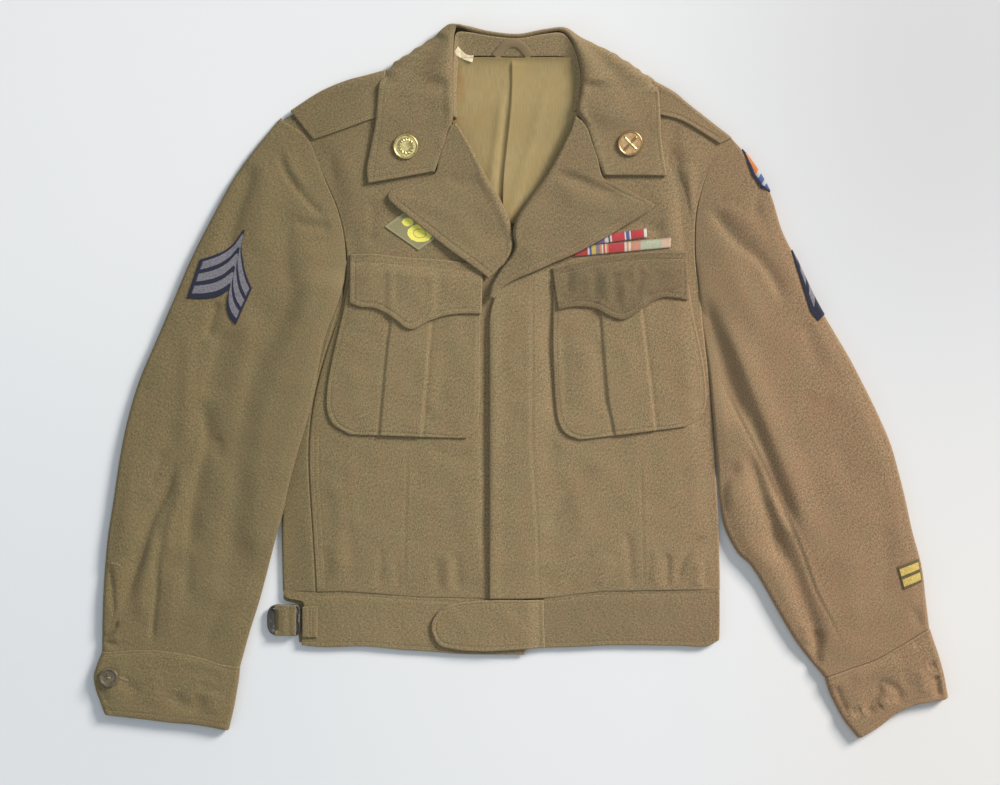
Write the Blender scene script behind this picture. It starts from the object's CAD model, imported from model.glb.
"""Waist-length wool uniform jacket, laid on its back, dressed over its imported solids.

Plan tables are in millimetres: x runs to the wearer's left and y from the collar to the hem.
Every grid of points is (rows, columns, 3) in plan millimetres with its height above the floor,
and becomes metres in the part's frame when its mesh is made.
"""

import math

import bpy
import numpy as np
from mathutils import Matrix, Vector


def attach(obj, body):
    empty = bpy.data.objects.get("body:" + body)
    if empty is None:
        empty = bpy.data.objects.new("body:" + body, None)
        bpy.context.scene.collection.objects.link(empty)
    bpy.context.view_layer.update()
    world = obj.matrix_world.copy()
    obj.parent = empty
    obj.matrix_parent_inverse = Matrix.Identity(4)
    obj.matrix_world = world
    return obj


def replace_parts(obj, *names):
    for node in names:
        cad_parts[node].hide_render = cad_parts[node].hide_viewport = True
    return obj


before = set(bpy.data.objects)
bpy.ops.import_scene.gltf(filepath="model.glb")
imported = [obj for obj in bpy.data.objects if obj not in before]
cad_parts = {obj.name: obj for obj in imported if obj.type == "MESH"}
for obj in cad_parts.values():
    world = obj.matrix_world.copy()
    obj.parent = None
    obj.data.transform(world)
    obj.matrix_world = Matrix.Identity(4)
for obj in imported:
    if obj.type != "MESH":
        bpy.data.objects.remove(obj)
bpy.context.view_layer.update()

bl_info = {
    "name": "Wool uniform jacket",
    "version": (1, 0, 0),
    "blender": (4, 5, 0),
    "location": "3D View > Sidebar > Jacket",
    "description": "Makes the pieces of a laid waist-length wool jacket and its stage",
    "category": "Object",
}

MM = 0.001  # metres
UPWARD = (0.0, 0.0, 1.0)
CROSSWISE = 1.57  # radians from a panel's grain to a band's
# millimetres: the plan's middle, thicknesses of the cloths, and heights of the laid garment
PLAN_CENTRE = (521.0, 380.8)
CLOTH = 2.2
BAND = 2.4
DOUBLED = 2.8
POCKET_CLOTH = 2.0
LINING_CLOTH = 0.9
FELT = 0.9
RIBBON_BAR = 1.4
SEAM = 0.4
FELT_GAP = 0.35
SETTLE = 0.7
LAP = 2.9
LIFT = 3.2
PUFF = 3.0
PLEAT_RISE = 1.5
RIM_HEIGHT = 5.8
HANGER_HALF = 3.9
STITCH_LENGTH = 2.15
# columns of a tube's ring: its upper run, each bend and its under side; and those seen from above
RING_TOP, RING_BEND, RING_BOTTOM = 88, 9, 34
SEEN = slice(RING_BOTTOM + 4, RING_BOTTOM + RING_BEND + RING_TOP + 5)

# ---------------------------------------------------------------- plan tables

RIGHT_EDGE = (
    (142, 309), (163, 317), (181, 325), (209, 337), (238, 344), (263, 346.5),
    (285, 341), (300, 336.5), (315, 331), (330, 323), (360, 308), (400, 292.5),
    (435, 287), (470, 283.5), (523, 281.5), (592, 282.5),
)
LEFT_EDGE = (
    (138, 730), (153, 718.5), (167, 710.5), (183, 704.5), (210, 697.5), (240, 695.5),
    (268, 697), (292, 701), (330, 704.5), (370, 709), (420, 713), (460, 716),
    (485, 717.5), (523, 719), (592, 720),
)
RIGHT_HEAD = ((283, 121), (302, 107), (345, 91), (374, 93), (392, 86), (405, 68), (430, 60), (454, 54))
LEFT_HEAD = (
    (574, 54), (600, 61), (622, 73), (640, 90), (653, 100), (674, 102), (698, 117), (729, 139.4),
)
SHOULDER = ((280, 122), *RIGHT_HEAD[1:-1], (455, 54), *LEFT_HEAD[:-1], (711, 127), (727, 140))
WAIST_SEAM = (
    (282, 593), (350, 592), (385, 595), (410, 597), (430, 598), (490, 599),
    (520, 599), (550, 598), (570, 596), (585, 593), (600, 592), (640, 591), (720, 590),
)
# one row per section from the shoulder to the waist: armhole or side x, y, centre x, y
RIGHT_FRONT = (
    (283, 121, 454, 54), (310.5, 141.3, 449, 85), (317.5, 163, 445, 120),
    (325.5, 181, 456.5, 141), (337.5, 209, 474, 168), (344.5, 238, 493, 200),
    (347, 263, 507, 228), (344, 290, 519, 256), (338, 318, 524, 288),
    (329, 345, 524, 320), (320, 375, 524, 352), (313.5, 405, 524, 384),
    (310, 435, 524, 416), (309.5, 466, 524, 449), (311, 497, 524, 484),
    (313, 529, 524, 520), (315, 561, 524, 558), (316.5, 592, 524, 598.5),
)
LEFT_FRONT = (
    (574, 54, 729, 139.4), (585, 80, 718, 153), (584, 105, 710, 167),
    (579, 128, 704, 183), (568, 152, 697, 210), (554, 178, 695, 240),
    (536, 203, 696.5, 268), (521, 228, 700.5, 292), (520, 247, 702.5, 318),
    (511, 268, 705.5, 345), (498, 290, 709, 375), (490, 315, 711.5, 403),
    (489.5, 345, 713.5, 430), (489.5, 378, 715.5, 458), (489.5, 412, 717, 486),
    (489.5, 448, 718.5, 513), (489.5, 484, 719.3, 540), (489.5, 520, 719.7, 562),
    (489.5, 558, 720, 578), (489.5, 598.5, 720, 589.5),
)
# one row per section of the back: right x, y, left x, y, width brought forward, turn
BACK = (
    (457, 57, 572, 57, 0, 0), (430, 61, 600, 62, 0, 0), (405, 70, 622, 75, 0, 0),
    (395, 90, 638, 92, 0, 0), (374, 95, 653, 101, 0, 0), (345, 98.5, 674, 106, 0, 0),
    (320, 104, 698, 120, 0, 0), (303, 111, 711, 130, 0, 0), (286, 121.2, 729.3, 139.6, 0, 0),
    (311.4, 140.8, 718, 153, 0, 0), (317.5, 163, 710, 167, 0, 0),
    (325.5, 181, 704, 183, 0, 0), (337.5, 209, 697, 210, 0, 0),
    (344.5, 238, 695, 240, 0, 0), (347, 263, 696.5, 268, 0, 0),
    (342.5, 281, 699, 285, 0.2, 0.5), (337, 300, 702, 303, 1.4, 1),
    (323.5, 330, 704.5, 330, 6.2, 1), (308.5, 360, 708, 360, 11.8, 1),
    (292.5, 400, 711, 398, 18.3, 1), (287, 435, 714, 433, 19.5, 1),
    (283.5, 470, 716.5, 468, 22.5, 1), (281.5, 523, 719, 523, 28, 1),
    (281.7, 560, 719.7, 558, 30, 1), (282.5, 592.3, 720, 589.6, 30.3, 1),
)
BACK_NECK = ((457, 57), (480, 61), (515, 63), (550, 61), (572, 57))
NECK_HEAD = ((455, 58.4), (485, 58.0), (515, 58.4), (545, 58.0), (576, 58.4))
NECK_LINING = (
    (455, 57.6, 576, 57.6), (451.5, 85, 582, 80), (451, 118, 580, 105), (460.5, 140, 576, 128),
    (476.5, 168, 565, 152), (484, 182, 551.5, 178), (496, 202, 534, 203), (507, 222, 519, 225),
)
# a turned section's start: how far it reaches inside the roll and lies below it
COLLAR_NOSE, GORGE_NOSE = ((2.4, 4.0), (1.2, 1.0)), ((1.4, 0.9), (0.9, 0.2))
LAPEL_NOSE = ((2.2, 3.6), (1.1, 0.9))
GORGE_ROWS = 3
WIDE_FALL, LONG_TURN = 16, 12
FALL_MIDDLE, FALL_LOW = 12.4, 11.6
# roll x, y, rise, outer edge or rim x, y, edge folded behind x, y, space under the edge
COLLAR = (
    (433, 172.5, 11.8, 368, 184, 0, 0, 1.1), (438.3, 157, 12.6, 367, 168, 0, 0, 0.9),
    (444.3, 139.5, 13.8, 371, 147, 0, 0, 0.8), (451, 119, 15.2, 376, 121, 0, 0, 2.2),
    (451, 99, 16.2, 378, 98, 0, 0, 3.0), (450.8, 87, 16.6, 380.2, 83, 0, 0, 3.2),
    (450.8, 77, 16.8, 385, 70.3, 387, 73, 0), (451, 67, 17, 394, 61.7, 390, 77, 0),
    (451, 56, 17, 403, 56.2, 391, 80, 0), (451.4, 48, 17, 415, 48.1, 400, 84, 0),
    (452, 40, 17, 427, 40.3, 408, 87, 0), (452.8, 33, 17, 439, 32.3, 418, 90, 0),
    (456.5, 26.8, 17, 450, 24.2, 430, 92, 0), (470, 30.4, 17, 468, 26.3, 455, 95, 0),
    (490, 34.4, 17, 490, 31.3, 483, 97, 0), (518, 36.9, 17, 518, 33.9, 518, 98, 0),
    (543, 32.4, 17, 544, 29.3, 553, 97, 0), (562, 31, 17, 566, 28, 585, 94, 0),
    (572, 40, 17, 590, 41.3, 608, 92, 0), (576.5, 49, 17, 604, 47.8, 620, 91, 0),
    (579.5, 57, 17, 616, 53.7, 630, 90, 0), (581.3, 64, 17, 628.5, 61.6, 640, 88, 0),
    (582.4, 70, 17, 639, 68.9, 647, 87, 0), (583, 75.5, 17, 648, 75.2, 652, 85, 0),
    (583, 81, 17, 654.5, 80, 656, 84, 0), (582.7, 87, 16.8, 657.8, 90, 0, 0, 3.2),
    (582, 94, 16.5, 659, 100, 0, 0, 3.2), (579, 112, 15.6, 660, 119, 0, 0, 2.8),
    (590.2, 131, 14.0, 661, 138, 0, 0, 1.2), (598, 156, 12.8, 664, 159, 0, 0, 0.9),
    (605, 176.5, 11.8, 667, 176.5, 0, 0, 1.1),
)
# roll x, y, rise, edge x, y, space under the edge, height at the seam with the collar
RIGHT_LAPEL = (
    (455, 124.5, 15.0, 450.6, 126.5, 0.3, 14.7), (460, 132, 14.8, 447.2, 135, 0.3, 14.1),
    (466, 142, 14.6, 443, 147, 0.3, 13.3), (471.5, 152, 14.6, 438.8, 160, 0.3, 12.6),
    (477.5, 163, 14.6, 434.5, 174.2, 0.3, 11.9), (482.5, 173, 14.6, 416, 181.3, 0.3, 0),
    (487.5, 182, 14.6, 400, 187.5, 0.6, 0), (493, 190.5, 14.6, 390, 192.5, 1.0, 0),
    (498, 199, 14.6, 388.5, 198, 1.6, 0), (502, 207.5, 14.6, 394, 205, 1.9, 0),
    (506, 216.5, 14.6, 409, 217, 1.9, 0), (509, 226, 14.4, 426, 231, 1.9, 0),
    (511, 236, 14.0, 446, 247, 1.9, 0), (511.5, 246, 13.6, 464, 260, 3.6, 0),
    (508, 256, 13.2, 479, 271, 3.6, 0), (501, 266, 13.0, 488, 278, 3.6, 0),
)
LEFT_LAPEL = (
    (576, 117.5, 15.2, 581.5, 121.5, 0.3, 14.9), (572.5, 129, 15.2, 587.5, 130, 0.3, 14.2),
    (567, 141, 15.2, 592.3, 143.5, 0.3, 13.4), (560, 155, 15.2, 597.5, 159, 0.3, 12.6),
    (554.5, 165.5, 15.2, 603.5, 178.3, 0.3, 11.9), (549.5, 174, 15.2, 620, 186.3, 0.8, 0),
    (544.5, 182, 15.2, 638, 196, 1.6, 0), (539, 189.5, 15.2, 650, 202, 2.4, 0),
    (533, 197.5, 15.4, 653.5, 206.5, 3.0, 0), (527, 206, 15.8, 641, 216, 3.4, 0),
    (521, 214, 16.2, 622, 227.5, 3.8, 0), (516.5, 223, 16.6, 602, 239.5, 4.0, 0),
    (514.5, 234, 16.6, 578, 252.5, 4.0, 0), (516.5, 247, 16.2, 555, 262.5, 3.4, 0),
    (512, 258, 15.8, 535, 271.5, 2.6, 0), (502, 271, 15.2, 516, 279.5, 1.6, 0),
    (494, 284, 14.6, 502, 288, 0.6, 0), (490.2, 297, 14.0, 493.6, 299, 0.3, 0),
)
STAND = (
    (454.4, 117, 11.6, 457.5, 119, 7.2), (453.5, 97, 13.0, 457, 98, 9.7),
    (453.5, 78, 13.8, 457.3, 80, 9.7), (453.9, 58, 14.4, 458.5, 63, 9.5),
    (454.6, 44, 15.0, 460.5, 58.6, 9.3), (457.0, 33.4, 15.6, 465, 57.3, 9.2),
    (470, 33.2, 15.8, 474, 56.9, 9.1), (490, 36.8, 15.8, 491, 57.0, 9.1),
    (518, 39.3, 15.8, 518, 57.6, 9.1), (543, 35.0, 15.8, 541, 57.1, 9.1),
    (561, 33.8, 15.6, 557, 57.2, 9.2), (570, 42, 15.0, 567, 58.6, 9.3),
    (576.4, 58, 14.2, 572.5, 65, 9.5), (580, 77, 13.4, 575.6, 79, 9.7),
    (579.2, 92, 12.6, 575, 93, 9.7), (575.8, 110, 11.4, 572.2, 112, 8.4),
)
# one ring per row from the armhole to the cuff: outer edge x, y, inner edge x, y, height
RIGHT_SLEEVE = (
    (276, 119, 344.4, 263, 5.4), (251, 150, 341.5, 284, 7.4), (231, 180, 336.5, 305, 8.6),
    (210, 220, 325.5, 335, 9.0), (190, 260, 319, 365, 9.0), (173, 300, 314, 395, 9.0),
    (156, 340, 305.5, 427, 9.0), (139, 380, 297, 455, 9.0), (127, 420, 289, 485, 9.0),
    (119, 460, 283, 513, 9.0), (113, 500, 276, 538, 9.0), (107, 540, 268, 568, 9.0),
    (103.5, 580, 259.5, 600, 9.0), (102, 615, 249.5, 632, 9.0), (101.5, 651.5, 240, 666.5, 9.0),
)
LEFT_SLEEVE = (
    (736, 137.5, 701.8, 291, 5.4), (757, 163, 702.9, 314, 7.4), (773, 193, 705.7, 337, 8.6),
    (783, 230, 708.3, 363, 9.0), (798, 262, 710.9, 392, 9.0), (816, 300, 713.3, 420, 9.0),
    (834, 331, 715.6, 448, 9.0), (851, 360, 717.8, 475, 9.0), (867, 391, 720.2, 502, 9.0),
    (880, 418, 724.5, 527, 9.0), (891, 444, 737, 552, 9.0), (899, 472, 751, 566, 9.0),
    (906, 500, 765, 588, 9.0), (913, 532, 779, 613, 9.0), (922, 566, 795, 640, 9.0),
    (926, 599, 811, 661, 9.0), (929.5, 627, 824.5, 677, 9.0),
)
RIGHT_CUFF = (
    (101, 653.5, 240.5, 668.5, 9.6), (96, 666, 239, 681, 9.6), (93, 677, 237, 692, 9.6),
    (95, 690, 234.5, 705, 9.6), (99.5, 702, 231.5, 718, 9.6), (104, 714, 228.5, 730, 9.6),
)
LEFT_CUFF = (
    (931, 629.5, 825.5, 680, 9.6), (936, 645, 830, 694, 9.6), (941, 661, 836.5, 707, 9.6),
    (945.5, 679, 845, 722, 9.6), (949, 698, 858, 738.5, 9.6),
)
RIGHT_ARMHOLE = (
    (279, 118.2), (309, 141.6), (316.8, 161.6), (324.6, 181), (336.6, 209.4), (343.6, 238),
    (345.8, 263.6),
)
LEFT_ARMHOLE = (
    (732.5, 137.2), (718.6, 152.2), (710.6, 166.3), (704.6, 182.6), (698, 209.8), (696, 240),
    (697.1, 268), (700.2, 291),
)
RIGHT_CUFF_SEAM = ((101.5, 651.5), (155, 649.5), (180, 652.5), (200, 656.5), (220, 663), (240, 666.5))
LEFT_CUFF_SEAM = ((929.5, 627), (900, 645), (875, 659), (850, 668), (824.5, 677))
LEFT_CUFF_HEM = ((949, 698), (931, 701), (915, 704), (897, 712), (880, 725), (858, 738.5))
RIGHT_CUFF_HEM = ((104, 714), (140, 718), (165, 721), (203, 725), (228.5, 730))
RIGHT_POCKET = (
    (347.5, 287, 480.5, 287), (343, 312, 480.5, 312), (336.5, 340, 480, 340),
    (331, 365, 479.5, 366), (327, 390, 479.5, 392), (327, 410, 479, 412),
    (333, 424, 477, 428), (350, 434.5, 467, 438),
)
LEFT_POCKET = (
    (553.5, 289, 689, 285), (553, 320, 694, 318), (553, 350, 700, 345),
    (554, 378, 704, 368), (555.5, 404, 706.5, 390), (558.5, 422, 705.5, 407),
    (566, 434, 699, 418), (580, 439.5, 686, 426.5),
)
RIGHT_PLEAT = ((318, 392), (345, 388), (375, 385), (434, 380)), ((318, 431), (350, 428), (437, 421))
LEFT_PLEAT = ((313, 601), (340, 603), (400, 608), (434, 615)), ((310, 641), (345, 645), (430, 655))
RIGHT_FLAP_TOP = ((350, 254), (375, 254), (400, 257), (430, 259), (467, 263), (483, 266))
RIGHT_FLAP_EDGE = (
    (349.5, 303), (360, 307), (375, 308.5), (393, 318), (410, 329.5), (430, 321),
    (445, 316), (460, 314), (481.5, 314),
)
LEFT_FLAP_TOP = ((552, 268), (575, 263), (600, 257), (640, 253), (687, 251.5))
LEFT_FLAP_EDGE = (
    (558, 310), (575, 307), (595, 309), (611, 317), (622, 320), (632, 316), (645, 306.5),
    (660, 298.5), (688, 300),
)
PLEAT_HEAD = 318
DIAMOND = ((385, 227), (418, 250), (441, 234), (408, 210))
RIGHT_STRAP = (
    (381.5, 116.3, 386, 69.6), (366, 121.3, 366, 75), (350, 127, 345, 80.5), (330, 134, 319, 91.5),
    (313, 139.5, 289, 111),
)
LEFT_STRAP = (
    (655, 114, 652.5, 79.8), (675, 118.5, 674, 91.5), (690, 125, 690, 104.5),
      (720.6, 143.9, 733.6, 138.2),
)
BACK_BAND = (
    (283, 593.3, 720, 590.3), (284, 600.5, 720, 600), (298, 605.5, 720, 607),
    (298, 620, 720, 620), (298, 632, 720, 630), (298.5, 643, 718.5, 640),
)
RIGHT_BAND = (
    (283, 593.3, 524, 599.3), (285.5, 598.5, 524, 606), (302.3, 602.5, 524, 612),
    (302.3, 620, 524, 625), (302.3, 633, 524, 640), (302.3, 645.5, 524, 654),
)
LEFT_BAND = (
    (542.8, 600, 720, 590.8), (542.8, 612, 720, 602), (543.2, 625, 720, 617),
    (544, 637, 719.8, 630), (545.5, 648, 718.5, 641),
)
RIGHT_HEM = ((302.3, 645.5), (315, 647), (370, 647), (400, 650), (430, 652), (455, 654), (524, 655))
LEFT_HEM = ((545.5, 648), (580, 647), (610, 645.5), (640, 645.5), (680, 646), (710, 645.5), (718.5, 641))
TAB_TOP = ((432, 622), (438, 612), (447, 606), (460, 603), (487, 600.2), (515, 600.2), (543.8, 600))
TAB_EDGE = ((431.5, 631), (439, 645), (455, 649.5), (480, 651.5), (515, 650), (530, 649), (545.2, 648))
# the embroidered arm badge: its outer and inner edges, from one arm over the tip to the other
CHEVRON_OUTER = (
    (200.5, 259), (213, 255), (225, 249.5), (236, 240.5), (245, 228), (242.2, 245), (243.6, 258),
    (246.6, 273), (252.5, 288),
)
CHEVRON_INNER = (
    (187, 299), (199, 300), (211, 299.5), (221, 297), (229, 292), (227.4, 300), (226.8, 308),
    (229.5, 318), (236, 325.5),
)
SERVICE_BARS = ((897, 567), (903, 589), (922, 581), (918.5, 559))
# slivers on the rolled edge of the left sleeve: node, first and last share of the sleeve's length,
# breadth at shares of the badge, finish and cut; they reach inward from a column of the sleeve's rings
EDGE_COLUMN, EDGE_REACH = 135.4, 9.8
EDGE_BADGES = (
    ("shoulder_patch", 0.0316, 0.1211, ((0, 0.25), (0.25, 0.62), (0.5, 0.8), (0.78, 0.74), (1, 0.3)),
     "shoulder_patch", (0.0500, 0.0135)),
    ("chevrons_left", 0.2263, 0.3395, ((0, 0.3), (0.2, 0.5), (0.5, 0.72), (0.82, 0.95), (1, 0.8)),
     "chevron_edge", (0.064, 0.019)),
)
# corners of the ribbon bars: hem right, hem left, neck left, neck right
RIBBON_BARS = {
    "ribbon_bar_upper": ((590.6, 245.3), (646.4, 237.6), (645.9, 228.5), (589.3, 236.2)),
    "ribbon_bar_lower": ((574.9, 256.6), (669.8, 247.7), (670.2, 237.9), (574.0, 246.9)),
}
KEEPER = (((302.2, 607.0), (306, 606.5), (311, 606.5), (317.5, 606.5)),
          ((302.2, 637.0), (306, 637.5), (311, 637.5), (317.5, 637.5)))
BUCKLE_STRAP = ((274.5, 605.4), (285, 605.0), (296, 605.0)), ((274.5, 635.6), (285, 636.0), (296, 636.0))
STRAP_LINE = 620.5
# the buckle's frame from its outer end to the inner one, mirrored at a line across the plan
BUCKLE_LINE = 620.25
BUCKLE_HALF = (
    (268.3, 620, 4.6), (268.8, 613, 4.6), (271.5, 608, 4.6), (275.5, 606.4, 4.7), (283, 606.4, 4.9),
    (292, 606.4, 5.3), (297, 606.7, 5.7), (298.3, 608.6, 5.8), (298.4, 620, 5.8),
)
# per bar: x, first and last y, height, radius, and its height as a share of its width
BUCKLE_BARS = (
    (283.2, 607.2, 633.4, 4.9, 1.25, 1.0), (295.2, 607.6, 633.0, 5.5, 0.9, 1.0),
    (271.6, 609.2, 631.3, 4.7, 2.9, 0.3),
)
# profiles from the outer edge inward: radius and height
DISC_RIM = (
    (11.0, -0.6), (12.3, -0.3), (12.7, 0.4), (12.6, 1.2), (12.1, 1.75), (11.6, 1.95), (11.1, 1.8),
    (10.8, 1.4),
)
BUTTON = (
    (6.5, 0.0), (8.8, 0.3), (9.6, 1.0), (9.8, 1.8), (9.6, 2.6), (9.0, 3.1), (8.3, 3.25), (7.6, 3.1),
    (7.0, 2.7), (6.4, 2.4), (5.4, 2.3), (4.2, 2.3), (3.0, 2.35), (1.6, 2.4), (0.4, 2.4),
)
HANGER = (
    (495.5, 57.0), (499.2, 52.6), (503.2, 48.4), (507.6, 45.0), (512.8, 44.0), (518.2, 45.0),
    (522.8, 48.4), (526.6, 52.6), (530, 57.0),
)
LABEL_TOP = ((458.0, 47.6), (461.5, 51.4), (466.0, 55.0), (469.6, 56.0), (473.4, 55.8))
LABEL_LOW = ((453.6, 54.4), (459.0, 57.2), (464.2, 59.6), (468.0, 61.2), (472.1, 62.4))

# ---------------------------------------------------------------- soft folds, placed by hand
# each is a path, its half width, its height and its lean; a positive lean widens its left side

FRONT_FOLDS = (
    (((664, 128), (672, 160), (682, 190), (689, 235), (696, 275)), 6.5, -2.3, 0.2),
    (((672, 122), (676, 150), (680, 172)), 6, -1.2, 0),
    (((690, 160), (691, 190), (692, 220)), 5, 1.2, 0),
    (((700, 300), (706, 340), (710, 380), (712, 440)), 6, 0.8, 0),
    (((408, 446), (406, 500), (404, 591)), 1.2, -0.4, 0),
    (((410.5, 446), (408.5, 500), (406.5, 591)), 2.2, 0.15, 0),
    (((640, 441), (642, 500), (644, 590)), 1.2, -0.4, 0),
    (((642.5, 441), (644.5, 500), (646.5, 590)), 2.2, 0.15, 0),
    (((323, 545), (326, 565), (320, 588)), 6, -0.9, 0),
    (((345, 520), (352, 560), (350, 585)), 9, -0.8, 0),
    (((332, 470), (340, 520), (336, 585)), 8, 0.7, 0),
    (((380, 545), (381, 565), (378, 588)), 4, -0.7, 0), (((397, 560), (398, 588)), 3.5, -0.5, 0),
    (((435, 555), (437, 575), (439, 592)), 5, -0.9, 0),
    (((457, 552), (458, 575), (458, 593)), 5, -0.9, 0),
    (((447, 550), (448, 592)), 4.5, 0.7, 0),
    (((604, 466), (584, 478), (566, 494), (554, 514), (541, 530)), 7, -1.2, -0.2),
    (((625, 470), (600, 490), (575, 525)), 10, 0.8, 0),
    (((700, 470), (670, 488), (652, 505), (660, 520)), 10, -0.8, 0),
    (((594, 548), (580, 565), (564, 588)), 6, -0.8, 0), (((612, 555), (598, 590)), 7, 0.7, 0),
    (((627, 530), (630, 560), (631, 589)), 4.5, -0.9, 0), (((656, 545), (655, 588)), 5, 0.9, 0),
    (((667, 552), (668, 572), (667, 589)), 3.6, -1.3, 0),
    (((708, 536), (694, 545), (685, 558), (676, 585)), 5, -1.6, 0.2),
    (((701, 560), (697, 588)), 6, 0.8, 0), (((705, 560), (706, 589)), 3.5, -0.7, 0),
    (((555, 300), (549, 335), (552, 380), (556, 432)), 6, -1.5, 0.2),
    (((560, 445), (552, 452), (543, 470)), 6, -0.6, 0),
    (((532, 278), (532, 360), (532, 440), (537, 520), (540, 597)), 1.4, -0.3, 0),
    (((529, 280), (529, 440), (535, 540), (537, 597)), 4, 0.2, 0),
    (((510, 330), (500, 355), (503, 380)), 7, -0.5, 0),
    (((515, 405), (505, 425), (503, 445)), 7, -0.5, 0),
    (((340, 150), (350, 200), (352, 240)), 10, 0.7, 0),
    (((372, 195), (372, 225), (368, 248)), 6, -0.9, 0),
    (((323, 120), (340, 112), (362, 108)), 5, -0.4, 0), (((330, 150), (333, 185)), 5, -0.5, 0),
    (((612, 231), (640, 225), (668, 235)), 7, -1.1, 0),
    (((655, 190), (668, 212), (668, 245)), 8, 0.9, 0),
    (((485.5, 290), (485, 400), (485, 500), (484, 592)), 5, -1.5, 0),
    (((455, 460), (462, 500), (470, 548)), 12, 0.6, 0),
    (((560, 460), (575, 500), (580, 545)), 9, 0.5, 0),
    (((425, 445), (450, 455), (475, 452)), 6, -0.5, 0),
    (((690, 430), (702, 415), (708, 396)), 5, -0.8, 0),
    (((350, 450), (352, 500), (360, 540)), 7, 0.5, 0),
)
RIGHT_SLEEVE_FOLDS = (
    (((257, 157), (246, 188), (236, 218), (229, 245), (225, 262)), 9, -2.3, 0.25),
    (((268, 160), (262, 205), (258, 260)), 12, 1.2, 0),
    (((279, 146), (282, 164), (291, 181), (304, 198), (317, 211), (328, 219)), 4.2, -1.3, -0.2),
    (((287, 150), (292, 170), (306, 190)), 6, 0.9, 0),
    (((292, 222), (312, 226), (333, 227)), 5, -1.3, 0),
    (((297, 208), (288, 232), (287, 262), (290, 292)), 9, -1.3, 0.2),
    (((310, 235), (306, 280), (297, 330)), 12, 1.0, 0),
    (((217, 300), (211, 322), (206, 340)), 5, -1.9, -0.3),
    (((224, 325), (219, 350), (211, 378), (206, 402)), 12, -1.7, -0.45),
    (((203, 392), (205, 420), (207, 445), (200, 468), (194, 495), (190, 525),
      (187, 560)), 7.5, -2.4, -0.35),
    (((212, 436), (219, 446), (217, 460)), 6, -1.0, 0),
    (((248, 300), (246, 340), (236, 400), (230, 445)), 12, 1.5, 0.2),
    (((232, 455), (222, 500), (214, 560), (210, 620)), 13, 1.3, 0.2),
    (((190, 330), (188, 370), (187, 420), (184, 460)), 8, 1.2, 0),
    (((177, 450), (171, 478), (162, 500), (151, 521), (144, 544), (137, 566), (130, 588),
      (124, 618)), 6.2, -2.4, 0.2),
    (((163, 448), (156, 476), (150, 492)), 5, -0.9, 0),
    (((172, 420), (167, 445), (160, 470)), 8, -0.6, 0),
    (((185, 470), (178, 500), (170, 530), (167, 560)), 5.5, 1.3, 0),
    (((158, 528), (150, 560), (144, 590), (140, 625)), 6, 1.3, 0),
    (((162, 540), (157, 562), (156, 590), (153, 622), (150, 652)), 3.2, -1.7, -0.2),
    (((174, 560), (172, 600), (168, 645)), 8, 0.8, 0),
    (((190, 550), (188, 575), (187, 600)), 6, -0.9, 0),
    (((225, 600), (215, 622), (203, 650)), 7, -0.9, 0),
    (((136, 470), (128, 520), (122, 560)), 9, 0.9, 0),
    (((108, 560), (113, 590), (114, 618)), 3.5, -1.3, 0.3),
    (((150, 380), (140, 430)), 10, -0.6, 0), (((290, 358), (276, 372), (262, 392)), 7, -0.5, 0),
    (((118, 640), (122, 652)), 4, -0.8, 0), (((119, 621), (112, 631), (104, 640)), 2.0, -2.4, 0),
    (((103, 640), (112, 645), (121, 649)), 2.0, -2.4, 0), (((114, 636), (120, 642)), 2.5, 1.0, 0),
)
LEFT_SLEEVE_FOLDS = (
    (((703, 292), (711, 325), (721, 352), (731, 384), (741, 408), (750, 432)), 12, -4.6, 0.25),
    (((745, 404), (757, 430), (766, 455), (776, 482), (787, 508), (795, 532)), 7.5, -2.6, 0.3),
    (((746, 446), (755, 474), (763, 500), (771, 524), (778, 548), (788, 570)), 7, -3.6, 0.1),
    (((772, 522), (785, 552), (799, 588), (811, 622), (822, 664)), 9.5, -3.4, 0.1),
    (((722, 308), (736, 345), (752, 386), (768, 424), (784, 462), (800, 505),
      (814, 552)), 11, 2.6, -0.3),
    (((770, 492), (780, 516), (790, 538)), 4, 1.2, 0),
    (((733, 478), (742, 510), (752, 545), (768, 580)), 11, 1.4, 0),
    (((745, 466), (730, 475), (721, 492), (719, 522)), 8, -2.8, 0.2),
    (((818, 628), (817, 645), (816, 668)), 5, -2.6, 0), (((806, 622), (806, 645)), 5, 1.4, 0),
    (((702, 200), (716, 216), (728, 232), (741, 246), (757, 258), (768, 272), (777, 288),
      (786, 312)), 6.5, -1.9, -0.2),
    (((714, 232), (730, 262), (746, 300), (762, 340)), 14, 1.3, 0),
    (((722, 205), (745, 222), (768, 246)), 8, 0.9, 0),
    (((762, 182), (757, 200), (757, 222)), 6, -1.0, 0), (((718, 203), (740, 202)), 5, -0.5, 0),
    (((803, 318), (811, 345), (822, 374)), 8, -0.9, 0),
    (((884, 520), (886, 555), (882, 605)), 9, -0.8, 0),
    (((912, 606), (922, 630)), 5, -1.0, 0), (((843, 380), (866, 430), (880, 480)), 16, 0.9, 0),
    (((838, 440), (848, 480), (856, 500)), 10, -0.6, 0),
    (((800, 395), (815, 402), (835, 398)), 7, -0.5, 0),
    (((712, 362), (738, 415), (765, 470), (790, 525), (803, 555), (815, 590), (828, 615),
      (851, 661)), 1.6, -0.8, 0),
    (((714.5, 361), (740.5, 414), (767.5, 469), (792.5, 524), (805.5, 554), (817.5, 589),
      (853, 659)), 2.4, 0.4, 0),
    (((858, 520), (850, 580), (862, 640)), 12, 0.7, 0),
)
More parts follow.
